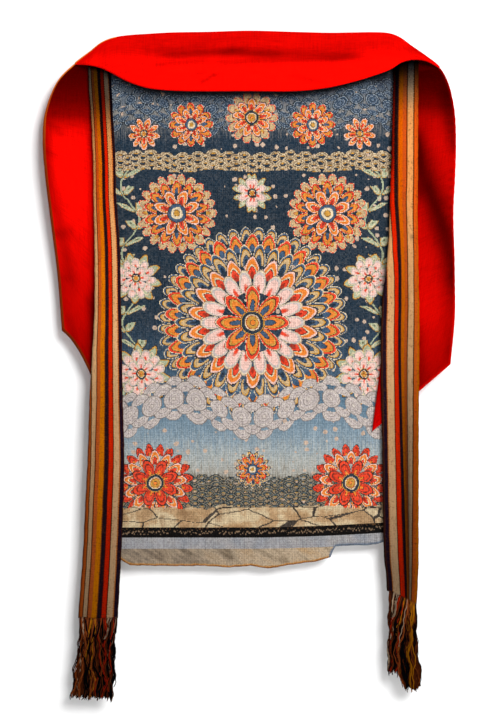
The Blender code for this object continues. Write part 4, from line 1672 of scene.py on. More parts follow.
    def _pucker(self, points: np.ndarray, to_rim: np.ndarray, right: np.ndarray) -> np.ndarray:
        """Draw the right tail's hem up in small puckers.

        Args:
            points: The cloth's points, which are moved.
            to_rim: Each point's distance from that rim.
            right: Which points are of the right tail.

        Returns:
            How much of its colour the cloth keeps under the painted shade in their troughs.
        """
        z = points[..., 2]
        near = np.exp(-((to_rim / 0.013) ** 2)) * right
        held = ease((z + 0.500) / 0.04) * ease((-0.090 - z) / 0.03)
        turn = math.tau * z / self.pucker_pitch
        wave = np.sin(turn + 1.3 * uneven(z, 0.11, 2.0))
        uneven_depth = 0.65 + 0.35 * uneven(z, 0.19, 5.0)
        points[..., 1] += self.pucker_push * wave * near * held * uneven_depth
        points[..., 0] -= self.pucker_draw * (wave + 1.0) * near * held * uneven_depth
        return 1.0 - self.pucker_shade * near * held * np.clip(wave * uneven_depth, 0.0, 1.0)


@dataclass
class PicturePanel:
    """The figured silk, sewn behind the cover and free down to its torn foot."""

    silk: FiguredSilk
    shade: FlapShade
    thickness: float = 0.0008
    sewn_y: float = 0.008
    drop_y: float = 0.0021
    sewn: float = 0.030
    let_go: float = 0.120
    swell: float = 0.0010
    swell_across: float = 0.70
    swell_down: float = 0.48
    ripple: float = 0.0006
    ripple_from: float = -0.750
    ripple_rise: float = 0.180
    ripple_wave: float = 0.20
    columns: int = 110
    rows: int = 190
    width: float = 0.500
    sides: tuple = (
        # z, left_x, right_x
        (-0.022, -0.252, 0.256),
        (-0.250, -0.249, 0.254),
        (-0.500, -0.245, 0.252),
        (-0.750, -0.241, 0.249),
        (-0.930, -0.238, 0.247),
    )
    foot: tuple = (
        # x, z
        (-0.238, -0.915), (-0.225, -0.929), (-0.212, -0.937), (-0.170, -0.938),
        (-0.125, -0.9385), (-0.080, -0.938), (-0.036, -0.941), (0.000, -0.938),
        (0.033, -0.943), (0.067, -0.937), (0.095, -0.933), (0.118, -0.930),
        (0.134, -0.925), (0.142, -0.922), (0.148, -0.904), (0.175, -0.902),
        (0.201, -0.902), (0.223, -0.900), (0.235, -0.895), (0.247, -0.893),
    )

    def build(self) -> bpy.types.Object:
        """Make the panel.

        Returns:
            The piece.
        """
        points = self._points()
        span = np.linspace(-0.5, 0.5, self.columns + 1)[:, None] * self.width
        span = span * np.ones(self.rows + 1)
        rim = distance_to_line(points, points[:, -1])
        maps = {
            "cloth": np.stack([span, -points[..., 2]], axis=-1),
            "rim": np.stack([rim, rim], axis=-1),
        }
        face = self.silk.make("figured_silk")
        sides = [self.silk.make_reverse("figured_silk_reverse", face), face]
        # The painted shadow close under the flap.
        deep = self.shade.line_on(points)
        obj = weave_sheet("silk_picture", points, maps, self.thickness, sides, deep)
        hand_over(obj, "picture_panel")
        return obj

    def _points(self) -> np.ndarray:
        """Work out the middle of the cloth.

        Returns:
            Points as [column][row], from the left and from the top.
        """
        sides = np.array(self.sides)[::-1]
        foot = np.array(self.foot)
        top_z = self.sides[0][0]
        columns = []
        for share in np.linspace(0.0, 1.0, self.columns + 1):
            foot_x = foot[0, 0] + (foot[-1, 0] - foot[0, 0]) * share
            foot_z = np.interp(foot_x, foot[:, 0], foot[:, 1])
            foot_z += 0.0005 * uneven(foot_x, 0.031, 1.0)
            z = top_z + (foot_z - top_z) * np.linspace(0.0, 1.0, self.rows + 1)
            left, right = (np.interp(z, sides[:, 0], sides[:, k]) for k in (1, 2))
            x = left + (right - left) * share
            loose = ease((top_z - self.sewn - z) / self.let_go)
            across = math.tau * x / self.swell_across
            along = math.tau * z / self.swell_down
            swell = self.swell * np.sin(across + along / 3.0) * np.cos(along - across / 2.0)
            low = ease((self.ripple_from - z) / self.ripple_rise)
            ripple = self.ripple * low * np.sin(math.tau * x / self.ripple_wave)
            y = self.sewn_y + loose * (self.drop_y + swell + ripple)
            columns.append(np.stack([x, y, z], axis=1))
        return np.array(columns)


@dataclass
class Band:
    """A striped wool band, from under the flap to its woven end."""

    side: Side
    wool: StripedWool
    # z, left_x, right_x, strip, turn, curl_y
    table: tuple
    # z, flat place of the left edge and of the right edge, in millimetres from the inner selvedge
    seen: tuple
    # z, where the pleat runs and its half width as shares across, the share of the cloth that it
    # hides, and how dark its painted shade is
    pleats: tuple
    # z, how dark the painted shade at the left edge is and how far in
    rims: tuple
    # z, how much painted shade darkens the wool
    levels: tuple
    top: tuple[float, float]
    foot: tuple[float, float]
    phase: float
    shade: FlapShade
    # x, z, radius and darkness of each stain
    stains: tuple = ()
    # z, how much painted shade darkens the right-hand part
    outer: tuple = ((-0.040, 0.0), (-1.030, 0.0))
    outer_from: float = 0.48
    outer_rise: float = 0.24
    thickness: float = 0.0011
    strip_y: float = 0.0034
    turn_radius: float = 0.0015
    pleat_depth: float = 0.012
    wave_y: float = 0.0012
    wave_length: float = 0.290
    free_from: float = -0.100
    free_rise: float = 0.100
    edge_shade: float = 0.30
    edge_reach: float = 0.0022
    strip_steps: int = 4
    turn_steps: int = 8
    face_steps: int = 44
    rows: int = 260

    def build(self) -> bpy.types.Object:
        """Make the band.

        Returns:
            The piece.
        """
        table = smooth_rows(self.table, 6)
        lines, places, shades = [], [], []
        for down in np.linspace(0.0, 1.0, self.rows + 1):
            level = self.top[0] + (self.foot[0] - self.top[0]) * down
            own = row_at(level, table)
            pleat = row_at(level, self.pleats)
            section, flat = self._section(own, row_at(level, self.seen) / MM, pleat)
            wave = self.wave_y * (1.0 - math.cos(math.tau * level / self.wave_length + self.phase))
            free = ease((self.free_from - level) / self.free_rise)
            base_y = self.strip_y - section[:, 1].max() - wave * free
            across = np.clip((section[:, 0] - own[0]) / (own[1] - own[0]), 0.0, 1.0)
            top_z = self.top[0] + (self.top[1] - self.top[0]) * across
            foot_z = self.foot[0] + (self.foot[1] - self.foot[0]) * across
            edge = np.maximum(across - 0.9, 0.1 - across) * 10.0
            x = section[:, 0] + 0.0004 * uneven(level, 0.045, self.phase + across) * (edge > 0.0)
            lines.append(np.stack([x, base_y + section[:, 1], top_z + (foot_z - top_z) * down], 1))
            places.append(flat)
            # Painted shade in the pleat, at both edges and over the outer part.
            pleated = pleat[3] * np.exp(-(((across - pleat[0]) / pleat[1]) ** 2))
            rim, reach = row_at(level, self.rims)
            rimmed = rim * np.exp(-(((x - x.min()) / reach) ** 2))
            edged = self.edge_shade * np.exp(-(((x - x.max()) / self.edge_reach) ** 2))
            outside = ease((across - self.outer_from) / self.outer_rise)
            outer = row_at(level, self.outer)[0] * outside
            shades.append((1.0 - pleated) * (1.0 - rimmed) * (1.0 - edged) * (1.0 - outer))
        points = np.array(lines).transpose(1, 0, 2)
        flat = np.array(places).T
        deep = self._shading(points, np.array(shades).T)
        maps = {"cloth": np.stack([flat, -points[..., 2]], axis=-1)}
        name = self.side.name.lower()
        wool = self.wool.make(f"striped_wool_{name}")
        obj = weave_sheet(f"wool_band_{name}", points, maps, self.thickness, [wool], deep)
        hand_over(obj, f"band_{name}")
        return obj

    def _section(
        self, row: np.ndarray, shown: np.ndarray, pleat: np.ndarray
    ) -> tuple[np.ndarray, np.ndarray]:
        """Make one section across the band.

        Args:
            row: The table's row at this level, without its z.
            shown: The flat places of the two edges that are seen.
            pleat: The pleat's row at this level, without its z.

        Returns:
            Its points in X and Y, and the flat place of each.
        """
        left, right, strip, turn, curl_y = row
        pleat_at, half_width, hidden, _ = pleat
        angle = math.radians(turn)
        face_left = left + self.turn_radius * (1.0 if turn > 90.0 else math.sin(angle))
        into = 1.0 if shown[1] > shown[0] else -1.0
        arc = self.turn_radius * angle
        points, flat = [], []
        for step in range(self.strip_steps):
            along = strip * (1.0 - step / self.strip_steps)
            x = face_left - self.turn_radius * math.sin(angle) - along * math.cos(angle)
            y = self.turn_radius * (1.0 - math.cos(angle)) + along * math.sin(angle)
            points.append((x, y))
            flat.append(shown[0] - into * (arc + along))
        for step in range(self.turn_steps + 1):
            here = angle * (1.0 - step / self.turn_steps)
            x = face_left - self.turn_radius * math.sin(here)
            y = self.turn_radius * (1.0 - math.cos(here))
            points.append((x, y))
            flat.append(shown[0] - into * self.turn_radius * here)
        for step in range(1, self.face_steps + 1):
            across = step / self.face_steps
            x = face_left + (right - face_left) * across
            curl = -curl_y * 4.0 * across * (1.0 - across)
            near = (across - pleat_at) / half_width
            points.append((x, curl + self.pleat_depth * hidden * math.exp(-((1.4 * near) ** 2))))
            share = across * (1.0 - hidden) + hidden * ease(near / 2.0 + 0.5)
            flat.append(shown[0] + (shown[1] - shown[0]) * share)
        return np.array(points), np.array(flat)

    def _shading(self, points: np.ndarray, kept: np.ndarray) -> np.ndarray:
        """Say where the band is darker: painted shade under the flap, along its length, in its
        pleat and at its edges, and its stains.

        Args:
            points: The band's points, as [column][row].
            kept: How much of its colour its pleat and edges keep under their painted shade.

        Returns:
            How much darker it is at each point.
        """
        kept = kept * (1.0 - levels_at(points[..., 2], self.levels))
        kept *= 1.0 - self.shade.line_on(points)
        for x, z, radius, darkness in self.stains:
            away = np.hypot(points[..., 0] - x, points[..., 2] - z)
            kept *= 1.0 - darkness * np.exp(-((away / radius) ** 2))
        return 1.0 - kept


@dataclass(frozen=True)
class Hank:
    """A hank of a fringe's yarns; places across are shares of the fringe's width there."""

    start: float
    end: float
    # Its middle at even steps from below the roots to the tips.
    path: tuple[float, ...]
    spread: float
    layer_mm: float
    # The colours of its left and of its right yarns, which a twist winds round each other.
    colour: str
    other: str
    length: float = 1.0


@dataclass
class Fringe:
    """The warp yarns left hanging below a band's woven end."""

    side: Side
    yarn: PliedYarn
    root_left: tuple[float, float]
    root_right: tuple[float, float]
    # z, left_x, right_x
    outline: tuple
    # share across, z of the tips
    tips: tuple
    hanks: tuple[Hank, ...]
    seed: int
    root_y: float
    loose_y: float = 0.0006
    yarn_radius: float = 0.0008
    yarn_pitch: float = 0.00105
    steps: int = 42
    tip_length: float = 0.0006
    overlap: float = 0.0020
    loose_after: float = 0.30
    gather_from: float = 0.84
    gather: float = 0.35
    gather_rise: float = 0.16
    spread_by: float = 0.60
    tip_scatter: float = 0.0021
    tip_bow: float = 0.0045
    sway: float = 0.0019
    odd_yarns: float = 0.10
    widest_twisted: float = 0.35

    def build(self) -> bpy.types.Object:
        """Make the fringe.

        Returns:
            The piece.
        """
        rng = np.random.default_rng(self.seed)
        name = f"warp_fringe_{self.side.name.lower()}"
        curve = bpy.data.curves.new(name, "CURVE")
        curve.dimensions = "3D"
        curve.bevel_depth = self.yarn_radius
        curve.bevel_resolution = 1
        tones = []
        width = self.root_right[0] - self.root_left[0]
        for hank in self.hanks:
            count = max(1, round((hank.end - hank.start) * width / self.yarn_pitch))
            own = rng.uniform(0.0, math.tau, 4)
            for number in range(count):
                place = (number + 0.5) / count - 0.5
                self._add_yarn(curve, hank, place, own, rng)
                odd = ODD_YARNS[rng.integers(len(ODD_YARNS))]
                colour = hank.colour if place < 0.12 else hank.other
                colour = odd if rng.random() < self.odd_yarns else colour
                light = rng.uniform(0.65, 1.25)
                tones.append(np.array(linear(colour)) * (light, light, light, 1.0))
        obj = bpy.data.objects.new(name, curve)
        bpy.context.scene.collection.objects.link(obj)
        make_active(obj)
        bpy.ops.object.convert(target="MESH")
        obj = bpy.context.active_object
        obj.data.materials.clear()
        obj.data.materials.append(self.yarn.make(f"plied_wool_{self.side.name.lower()}"))
        self._dye(obj.data, np.array(tones))
        bpy.ops.object.shade_smooth()
        hand_over(obj, f"fringe_{self.side.name.lower()}")
        return obj

    def _add_yarn(
        self, curve: bpy.types.Curve, hank: Hank, own: float, phases: np.ndarray,
        rng: np.random.Generator,
    ) -> None:
        """Add one yarn to the curve.

        Args:
            curve: The curve that holds the yarns.
            hank: The yarn's hank.
            own: The yarn's place across the hank, from -0.5 to 0.5.
            phases: The hank's phases.
            rng: The source of chance.
        """
        route = self._route(hank, own, phases, rng)
        spline = curve.splines.new("POLY")
        spline.points.add(len(route) - 1)
        for point, place in zip(spline.points, route):
            point.co = (*place, 1.0)
        spline.points[-1].radius = 0.05
        spline.points[-2].radius = 0.75

    def _dye(self, mesh: bpy.types.Mesh, tones: np.ndarray) -> None:
        """Give each yarn its colour, and its map real lengths.

        Args:
            mesh: The fringe's mesh, yarn by yarn.
            tones: One linear colour to a yarn.
        """
        layer = mesh.uv_layers[0]
        layer.name = "cloth"
        pairs = np.empty(len(mesh.loops) * 2, np.float32)
        layer.data.foreach_get("uv", pairs)
        pairs[::2] *= abs(self.tips[0][1] - self.root_left[1])
        layer.data.foreach_set("uv", pairs)
        dye = mesh.attributes.new("dye", "FLOAT_COLOR", "POINT")
        each = np.repeat(tones, len(mesh.vertices) // len(tones), axis=0)
        dye.data.foreach_set("color", each.astype(np.float32).ravel())

    def _route(
        self, hank: Hank, own: float, phases: np.ndarray, rng: np.random.Generator
    ) -> np.ndarray:
        """Lead one yarn down.

        Args:
            hank: Its hank.
            own: Its place across the hank, from -0.5 to 0.5.
            phases: The hank's phases.
            rng: The source of chance.

        Returns:
            The yarn's points.
        """
        outline = np.array(self.outline)[::-1]
        tips = np.array(self.tips)
        down = np.linspace(0.0, 1.0, self.steps + 1)
        root = (hank.start + hank.end) / 2.0
        knots = smooth_rows([(root,), *((place,) for place in hank.path)], 8)[:, 0]
        middle = np.interp(down, np.linspace(0.0, 1.0, len(knots)), knots)
        loose = ease(down / self.loose_after)
        width = (hank.end - hank.start) * (1.0 + (hank.spread - 1.0) * ease(down / self.spread_by))
        gather = self.gather if hank.end - hank.start < self.widest_twisted else 0.0
        width = width * (1.0 - gather * ease((down - self.gather_from) / self.gather_rise))
        slim = max(0.0, 1.0 - (hank.end - hank.start) / self.widest_twisted)
        turn = (2.2 + 1.6 * math.sin(phases[0])) * down * loose * slim
        deep = rng.uniform(-0.28, 0.28) * loose * slim
        here = middle + width * (own * np.cos(turn) + deep * np.sin(turn))
        root_share = root + own * (hank.end - hank.start)
        root_z = self.root_left[1] + (self.root_right[1] - self.root_left[1]) * root_share
        tip_z = np.interp(here[-1], tips[:, 0], tips[:, 1]) + rng.normal(0.0, self.tip_scatter)
        tip_z += self.tip_bow * slim * (2.0 * own) ** 2
        tip_z = root_z + (tip_z - root_z) * hank.length
        z = root_z + self.overlap + (tip_z - root_z - self.overlap) * down
        left = np.interp(z, outline[:, 0], outline[:, 1])
        right = np.interp(z, outline[:, 0], outline[:, 2])
        x = left + 0.001 + (right - left - 0.002) * here
        fall = (z - root_z) * math.tau
        crimp = rng.uniform(0.0, math.tau, 2)
        x += loose * self.sway * np.sin(fall / 0.046 + phases[1])
        x += loose * (0.0003 + 0.00045 * slim) * np.sin(fall / 0.0150 + crimp[0])
        y = width * (right - left) * (deep * np.cos(turn) - own * np.sin(turn)) * 0.8
        y += loose * 0.0009 * np.sin(fall / 0.047 + phases[2])
        y += loose * (0.0006 * np.sin(fall / 0.0160 + crimp[1]) + rng.normal(0.0, 0.0003))
        y += self.root_y + (self.loose_y + hank.layer_mm / MM - self.root_y) * loose
        route = np.stack([x, y, z], axis=1)
        return np.vstack([route, route[-1] - (0.0, 0.0, self.tip_length)])


@dataclass
class Studio:
    """The plain room: a pale wall and floor, soft light and the camera."""

    wall_y: float = 0.0345
    floor_z: float = -1.30
    camera_at: tuple = (-0.002, -2.99, -0.579)
    lens: float = 85.0
    room_light: float = 0.155

    def build(self) -> None:
        """Set the room up."""
        self._wall()
        self._floor()
        self._world()
        self._lamp("key", (1.62, -3.0, 1.35), (0.0, 0.0, -0.55), 2.0, 216.0)
        self._lamp("back", (-0.8, 3.4, 0.6), (0.0, 0.0, -0.55), 2.0, 90.0)
        camera = bpy.data.objects.new("camera", bpy.data.cameras.new("camera"))
        camera.location = self.camera_at
        camera.rotation_euler = (math.radians(90.0), 0.0, 0.0)
        camera.data.lens = self.lens
        bpy.context.scene.collection.objects.link(camera)
        bpy.context.scene.camera = camera
        bpy.context.scene.view_settings.view_transform = "Standard"
        LOG.info("studio: wall, floor, lamps and camera")

    def _plane(self, name: str, size: float) -> bpy.types.Object:
        """Add a flat square for the room.

        Args:
            name: Its name.
            size: Its side.

        Returns:
            The plane.
        """
        bpy.ops.object.select_all(action="DESELECT")
        bpy.ops.mesh.primitive_plane_add(size=size)
        obj = bpy.context.active_object
        obj.name = name
        return obj

    def _wall(self) -> None:
        """Hang a white wall close behind, which is clear from its own back."""
        wall = self._plane("wall", 6.0)
        wall.rotation_euler = (math.radians(90.0), 0.0, 0.0)
        wall.location = (0.0, self.wall_y, self.floor_z + 3.0)
        paint = Paint("white_wall")
        paint.shader.inputs["Base Color"].default_value = linear("#F7F7F7")
        paint.shader.inputs["Roughness"].default_value = 1.0
        paint.shader.inputs["Specular IOR Level"].default_value = 0.0
        behind = paint.add("NewGeometry", out=6)
        clear = paint.add("BsdfTransparent")
        surface = paint.add("MixShader", behind, paint.shader.outputs[0], clear)
        output = paint.tree.nodes["Material Output"]
        paint.tree.links.new(surface, output.inputs["Surface"])
        wall.data.materials.append(paint.material)

    def _floor(self) -> None:
        """Lay a pale floor below."""
        floor = self._plane("floor", 12.0)
        floor.location = (0.0, 0.0, self.floor_z)
        paint = Paint("pale_floor")
        paint.shader.inputs["Base Color"].default_value = linear("#E7E7E7")
        paint.shader.inputs["Roughness"].default_value = 0.9
        floor.data.materials.append(paint.material)

    def _world(self) -> None:
        """Light the room softly from all sides, and show it white."""
        world = bpy.data.worlds.new("soft_room")
        bpy.context.scene.world = world
        world.use_nodes = True
        layer = Layer(world.node_tree)
        level = layer.add("MapRange", layer.add("LightPath"), 0.0, 1.0, self.room_light, 1.0)
        background = layer.tree.nodes["Background"]
        layer.tree.links.new(level, background.inputs["Strength"])
        background.inputs["Color"].default_value = linear("#FFFFFF")

    def _lamp(
        self, name: str, at: tuple, towards: tuple, size: float, power: float
    ) -> bpy.types.Object:
        """Add a square lamp.

        Args:
            name: Its name.
            at: Where it stands.
            towards: The point it shines at.
            size: Its side.
            power: Its power in watts.

        Returns:
            The lamp.
        """
        data = bpy.data.lights.new(name, "AREA")
        data.size = size
        data.energy = power
        lamp = bpy.data.objects.new(name, data)
        lamp.location = at
        lamp.visible_camera = False
        way = Vector(towards) - Vector(at)
        lamp.rotation_euler = way.to_track_quat("-Z", "Y").to_euler()
        bpy.context.scene.collection.objects.link(lamp)
        return lamp


LEFT_BAND_TABLE = (
    # z, left_x, right_x, strip, turn, curl_y
    (-0.040, -0.284, -0.247, 0.0060, 180, 0.0010),
    (-0.100, -0.282, -0.243, 0.0060, 180, 0.0015),
    (-0.150, -0.278, -0.2405, 0.0060, 180, 0.0020),
    (-0.230, -0.2745, -0.236, 0.0060, 180, 0.0020),
    (-0.300, -0.274, -0.2345, 0.0055, 180, 0.0020),
    (-0.385, -0.272, -0.228, 0.0055, 175, 0.0020),
    (-0.485, -0.272, -0.226, 0.0050, 165, 0.0020),
    (-0.565, -0.276, -0.224, 0.0045, 140, 0.0018),
    (-0.645, -0.281, -0.223, 0.0030, 100, 0.0015),
    (-0.750, -0.284, -0.220, 0.0025, 80, 0.0015),
    (-0.830, -0.288, -0.222, 0.0025, 75, 0.0015),
    (-0.915, -0.292, -0.2255, 0.0025, 70, 0.0015),
    (-1.030, -0.300, -0.2315, 0.0025, 60, 0.0010),
)
LEFT_BAND_SEEN = (
    # z, flat place at the left edge, at the right edge
    (-0.040, 57.0, 0.5),
    (-0.300, 57.5, 0.5),
    (-0.560, 60.0, 0.0),
    (-0.645, 67.0, 0.0),
    (-0.750, 68.5, 0.0),
    (-1.030, 69.5, 0.0),
)
LEFT_BAND_PLEATS = (
    # z, at, half width, hidden, darkness of the painted shade
    (-0.600, 0.13, 0.05, 0.000, 0.00),
    (-0.730, 0.13, 0.05, 0.055, 0.10),
)
LEFT_BAND_RIMS = (
    # z, darkness of the painted edge shade, reach
    (-0.560, 0.45, 0.0022),
    (-0.700, 0.78, 0.0036),
)
LEFT_BAND_LEVELS = (
    # z, how much painted shade darkens the wool
    (-0.070, 0.94), (-0.100, 0.90), (-0.120, 0.86), (-0.139, 0.74), (-0.165, 0.40),
    (-0.190, 0.12), (-0.210, 0.03), (-0.250, 0.00), (-0.430, 0.00), (-0.520, 0.07),
    (-0.600, 0.24), (-0.650, 0.35), (-0.740, 0.38), (-0.820, 0.49), (-0.870, 0.56),
    (-0.950, 0.60), (-1.030, 0.69),
)
RIGHT_BAND_TABLE = (
    # z, left_x, right_x, strip, turn, curl_y
    (-0.034, 0.252, 0.295, 0.0160, 180, 0.0010),
    (-0.140, 0.250, 0.294, 0.0160, 180, 0.0015),
    (-0.250, 0.247, 0.2935, 0.0160, 180, 0.0018),
    (-0.300, 0.245, 0.293, 0.0150, 180, 0.0018),
    (-0.345, 0.244, 0.2935, 0.0125, 175, 0.0015),
    (-0.385, 0.2415, 0.294, 0.0090, 150, 0.0015),
    (-0.425, 0.2375, 0.2945, 0.0060, 110, 0.0015),
    (-0.475, 0.233, 0.296, 0.0030, 60, 0.0015),
    (-0.560, 0.231, 0.296, 0.0025, 40, 0.0015),
    (-0.690, 0.233, 0.2955, 0.0025, 40, 0.0015),
    (-0.820, 0.2345, 0.295, 0.0025, 45, 0.0015),
    (-0.910, 0.236, 0.295, 0.0025, 50, 0.0015),
    (-0.960, 0.2405, 0.293, 0.0025, 55, 0.0012),
    (-1.010, 0.2425, 0.2905, 0.0025, 60, 0.0010),
)
RIGHT_BAND_SEEN = (
    # z, flat place at the left edge, at the right edge
    (-0.034, 29.2, 74.0),
    (-0.174, 28.7, 74.0),
    (-0.253, 27.0, 74.0),
    (-0.297, 24.5, 74.5),
    (-0.340, 20.0, 75.0),
    (-0.384, 15.0, 75.0),
    (-0.428, 6.5, 76.0),
    (-0.472, 1.5, 76.5),
    (-0.560, 1.0, 77.0),
    (-1.010, 0.5, 78.0),
)
RIGHT_BAND_PLEATS = (
    # z, at, half width, hidden, darkness of the painted shade
    (-0.209, 0.24, 0.200, 0.060, 0.00),
    (-0.300, 0.34, 0.200, 0.070, 0.00),
    (-0.384, 0.48, 0.200, 0.090, 0.08),
    (-0.475, 0.50, 0.200, 0.100, 0.14),
    (-0.559, 0.52, 0.200, 0.130, 0.22),
    (-0.699, 0.60, 0.160, 0.154, 0.42),
    (-0.822, 0.66, 0.125, 0.210, 0.65),
    (-0.944, 0.70, 0.125, 0.300, 0.58),
    (-1.010, 0.70, 0.125, 0.360, 0.50),
)
RIGHT_BAND_RIMS = (
    # z, darkness of the painted edge shade, reach
    (-0.034, 0.88, 0.0065),
    (-0.220, 0.86, 0.0065),
    (-0.270, 0.50, 0.0040),
    (-0.400, 0.45, 0.0022),
)
RIGHT_BAND_LEVELS = (
    # z, how much painted shade darkens the wool
    (-0.070, 0.95), (-0.095, 0.85), (-0.122, 0.55), (-0.139, 0.22), (-0.170, 0.06),
    (-0.250, 0.08), (-0.330, 0.14), (-0.450, 0.20), (-0.560, 0.24), (-0.700, 0.42),
    (-0.820, 0.52), (-0.880, 0.62), (-0.944, 0.73), (-1.010, 0.75),
)
RIGHT_BAND_STAINS = (
    # x, z, radius, darkness
    (0.2830, -0.361, 0.0042, 0.55),
)
RIGHT_BAND_OUTER = (
    # z, how much painted shade darkens its outer part
    (-0.300, 0.00), (-0.430, 0.12), (-0.560, 0.24), (-0.700, 0.40), (-0.822, 0.34), (-0.900, 0.10),
    (-1.010, 0.00),
)
# The wools' colours in the fringes, darker than in the weaving by painted shade from among the
# yarns.
BROWN, RUST, GOLD, RED, BLACK, PALE = (
    "#52240E", "#8A421C", "#B8700E", "#A8240A", "#0B0A0C", "#B89C80",
)
ODD_YARNS = (BROWN, BLACK, RUST, BROWN)
LEFT_HANKS = (
    # start, end, path, spread, layer_mm, colour, other, length
    # The first three hanks are a dark backing that stands in for the shade deep among the yarns.
    Hank(0.00, 1.00, (0.48, 0.49, 0.50), 0.92, 3.0, BLACK, BLACK, 0.97),
    Hank(0.01, 1.00, (0.49, 0.50, 0.50), 0.93, 1.8, BLACK, BROWN, 0.98),
    Hank(0.00, 0.98, (0.48, 0.48, 0.49), 0.92, 0.8, BROWN, BLACK, 0.97),
    Hank(0.00, 0.07, (0.03, 0.05, 0.03, 0.05, 0.06), 1.90, -0.8, BROWN, RUST),
    Hank(0.07, 0.14, (0.125, 0.14, 0.12, 0.13, 0.15), 0.95, -0.4, PALE, BROWN, 0.98),
    Hank(0.13, 0.17, (0.20, 0.12, 0.25, 0.30, 0.31), 0.90, -2.4, BLACK, BLACK),
    Hank(0.16, 0.31, (0.21, 0.22, 0.31, 0.35, 0.37), 0.85, -1.0, RUST, BROWN),
    Hank(0.30, 0.42, (0.31, 0.28, 0.35, 0.44, 0.43), 0.90, -1.2, GOLD, RUST),
    Hank(0.20, 0.26, (0.14, 0.18, 0.17, 0.17, 0.21), 1.70, -1.8, BROWN, RUST),
    Hank(0.44, 0.56, (0.38, 0.33, 0.33, 0.33, 0.41), 0.60, -1.8, BLACK, BLACK),
    Hank(0.40, 0.47, (0.44, 0.41, 0.415, 0.50, 0.49), 1.10, -2.2, GOLD, RUST),
    Hank(0.50, 0.58, (0.476, 0.46, 0.49, 0.66, 0.64), 1.20, -2.8, BLACK, BLACK),
    Hank(0.56, 0.64, (0.55, 0.61, 0.68, 0.62, 0.58), 1.00, -1.2, RED, BLACK),
    Hank(0.60, 0.65, (0.63, 0.65, 0.655, 0.675, 0.73), 1.10, -2.0, BLACK, BROWN),
    Hank(0.63, 0.73, (0.74, 0.765, 0.74, 0.80, 0.77), 0.90, -1.7, RED, BROWN, 0.97),
    Hank(0.73, 0.87, (0.78, 0.74, 0.71), 0.22, -2.6, PALE, PALE, 0.26),
    Hank(0.72, 0.80, (0.81, 0.82, 0.83, 0.87, 0.86), 1.20, -1.0, BROWN, BLACK),
    Hank(0.80, 1.00, (0.92, 0.95, 0.94, 0.94, 0.94), 0.55, -1.4, BLACK, BLACK),
    Hank(0.96, 0.99, (0.955, 0.88, 0.83, 0.95, 0.98), 1.30, -3.0, PALE, BROWN),
    Hank(0.86, 0.92, (0.90, 0.86, 0.92, 0.88, 0.95), 1.20, -2.2, BROWN, RED, 0.99),
    Hank(0.99, 1.00, (0.98, 0.98, 0.98, 1.01, 1.00), 1.00, -1.0, BLACK, RED, 0.84),
)
RIGHT_HANKS = (
    # start, end, path, spread, layer_mm, colour, other, length
    # The first three hanks are a dark backing that stands in for the shade deep among the yarns.
    Hank(0.00, 1.00, (0.50, 0.50, 0.50), 0.93, 3.0, BLACK, BLACK, 0.97),
    Hank(0.00, 1.00, (0.49, 0.50, 0.51), 0.94, 1.8, BLACK, BROWN, 0.98),
    Hank(0.02, 1.00, (0.50, 0.49, 0.50), 0.92, 0.8, BLACK, BROWN, 0.96),
    Hank(0.00, 0.16, (0.04, 0.05, 0.04, 0.08, 0.07), 0.60, -0.6, BROWN, BLACK),
    Hank(0.16, 0.38, (0.22, 0.18, 0.13), 0.20, -1.4, PALE, PALE, 0.34),
    Hank(0.18, 0.24, (0.10, 0.14, 0.07, 0.04, 0.05), 1.00, -1.8, PALE, BROWN, 0.96),
    Hank(0.38, 0.51, (0.25, 0.12, 0.076, 0.15, 0.11), 0.62, -2.8, RED, BROWN),
    Hank(0.34, 0.40, (0.28, 0.22, 0.27, 0.21, 0.18), 1.30, -1.4, BLACK, BLACK),
    Hank(0.50, 0.56, (0.42, 0.30, 0.30, 0.30, 0.26), 1.40, -1.0, BROWN, RED),
    Hank(0.54, 0.66, (0.47, 0.33, 0.34, 0.38, 0.34), 0.90, -1.8, GOLD, BROWN),
    Hank(0.64, 0.70, (0.50, 0.35, 0.23, 0.25, 0.31), 1.20, -2.5, BLACK, BLACK),
    Hank(0.62, 0.72, (0.60, 0.46, 0.35, 0.37, 0.45), 1.10, -2.9, BROWN, RUST),
    Hank(0.66, 0.68, (0.62, 0.48, 0.43, 0.36), 1.00, -3.8, PALE, PALE, 0.62),
    Hank(0.70, 0.78, (0.74, 0.68, 0.58, 0.52, 0.55), 1.20, -1.0, BROWN, BLACK),
    Hank(0.76, 0.96, (0.785, 0.71, 0.65, 0.66, 0.65), 0.80, -2.0, GOLD, GOLD),
    Hank(0.94, 1.00, (0.96, 0.91, 0.77, 0.58, 0.55), 1.60, -2.8, BLACK, BLACK),
    Hank(0.86, 0.95, (0.91, 0.95, 0.88, 0.85, 0.80), 1.10, -1.4, RUST, BROWN),
    Hank(0.97, 1.00, (0.98, 0.97, 0.97, 0.96, 0.96), 2.60, -1.8, BLACK, BLACK),
    Hank(0.80, 0.83, (0.80, 0.80, 0.86, 0.78, 0.70), 1.20, -3.2, GOLD, RUST, 0.98),
    Hank(0.74, 0.80, (0.70, 0.76, 0.74, 0.88, 0.90), 1.10, -2.4, BROWN, RUST, 0.99),
)


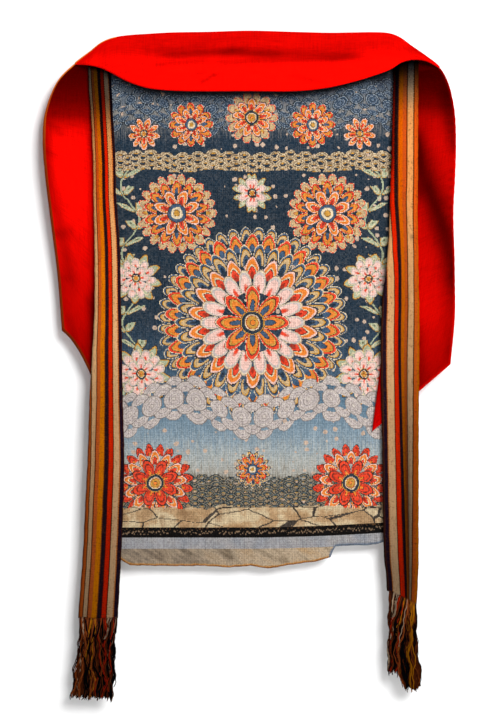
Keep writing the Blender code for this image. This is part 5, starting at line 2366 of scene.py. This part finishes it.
def main() -> None:
    """Build the hanging and its room, piece by piece."""
    logging.basicConfig(level=logging.INFO, format="%(message)s")
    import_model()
    Studio().build()
    cloth = CoverCloth(RedSilk())
    shade = FlapShade(cloth.fold_line())
    cover = cloth.build()
    picture = PicturePanel(FiguredSilk(), shade).build()
    yarn = PliedYarn()
    left_wool = StripedWool(band_stripes(10.0, 2.9, "#DE7A04"))
    right_wool = StripedWool(band_stripes(12.0, 5.5, "#D96A04"))
    bands = (
        Band(Side.LEFT, left_wool, LEFT_BAND_TABLE, LEFT_BAND_SEEN, LEFT_BAND_PLEATS,
             LEFT_BAND_RIMS, LEFT_BAND_LEVELS, (-0.050, -0.040), (-1.028, -1.028), 0.6, shade),
        Band(Side.RIGHT, right_wool, RIGHT_BAND_TABLE, RIGHT_BAND_SEEN, RIGHT_BAND_PLEATS,
             RIGHT_BAND_RIMS, RIGHT_BAND_LEVELS, (-0.034, -0.045), (-0.981, -1.004), 2.1, shade,
             RIGHT_BAND_STAINS, RIGHT_BAND_OUTER),
    )
    fringes = (
        Fringe(Side.LEFT, yarn, (-0.300, -1.028), (-0.2315, -1.028), (
            (-1.028, -0.300, -0.2315), (-1.054, -0.299, -0.234), (-1.077, -0.3015, -0.2375),
            (-1.093, -0.304, -0.236), (-1.117, -0.3085, -0.235), (-1.148, -0.313, -0.2375),
            (-1.176, -0.3195, -0.240),
        ), ((0.0, -1.169), (0.5, -1.168), (1.0, -1.172)), LEFT_HANKS, seed=3, root_y=-0.0022),
        Fringe(Side.RIGHT, yarn, (0.2425, -0.981), (0.2905, -1.004), (
            (-0.981, 0.2425, 0.2905), (-1.006, 0.2425, 0.292), (-1.070, 0.241, 0.2945),
            (-1.093, 0.238, 0.297), (-1.120, 0.2385, 0.3015), (-1.160, 0.243, 0.303),
        ), ((0.0, -1.124), (0.38, -1.127), (0.43, -1.152), (0.8, -1.157), (1.0, -1.150)),
            RIGHT_HANKS, seed=8, root_y=-0.0012),
    )
    cloths = [band.build() for band in bands]
    yarns = [fringe.build() for fringe in fringes]
    for band, cloth, ends, length in zip(bands, cloths, yarns, (0.985, 0.965)):
        band.wool.width_mm / MM


if __name__ == "__main__":
    main()
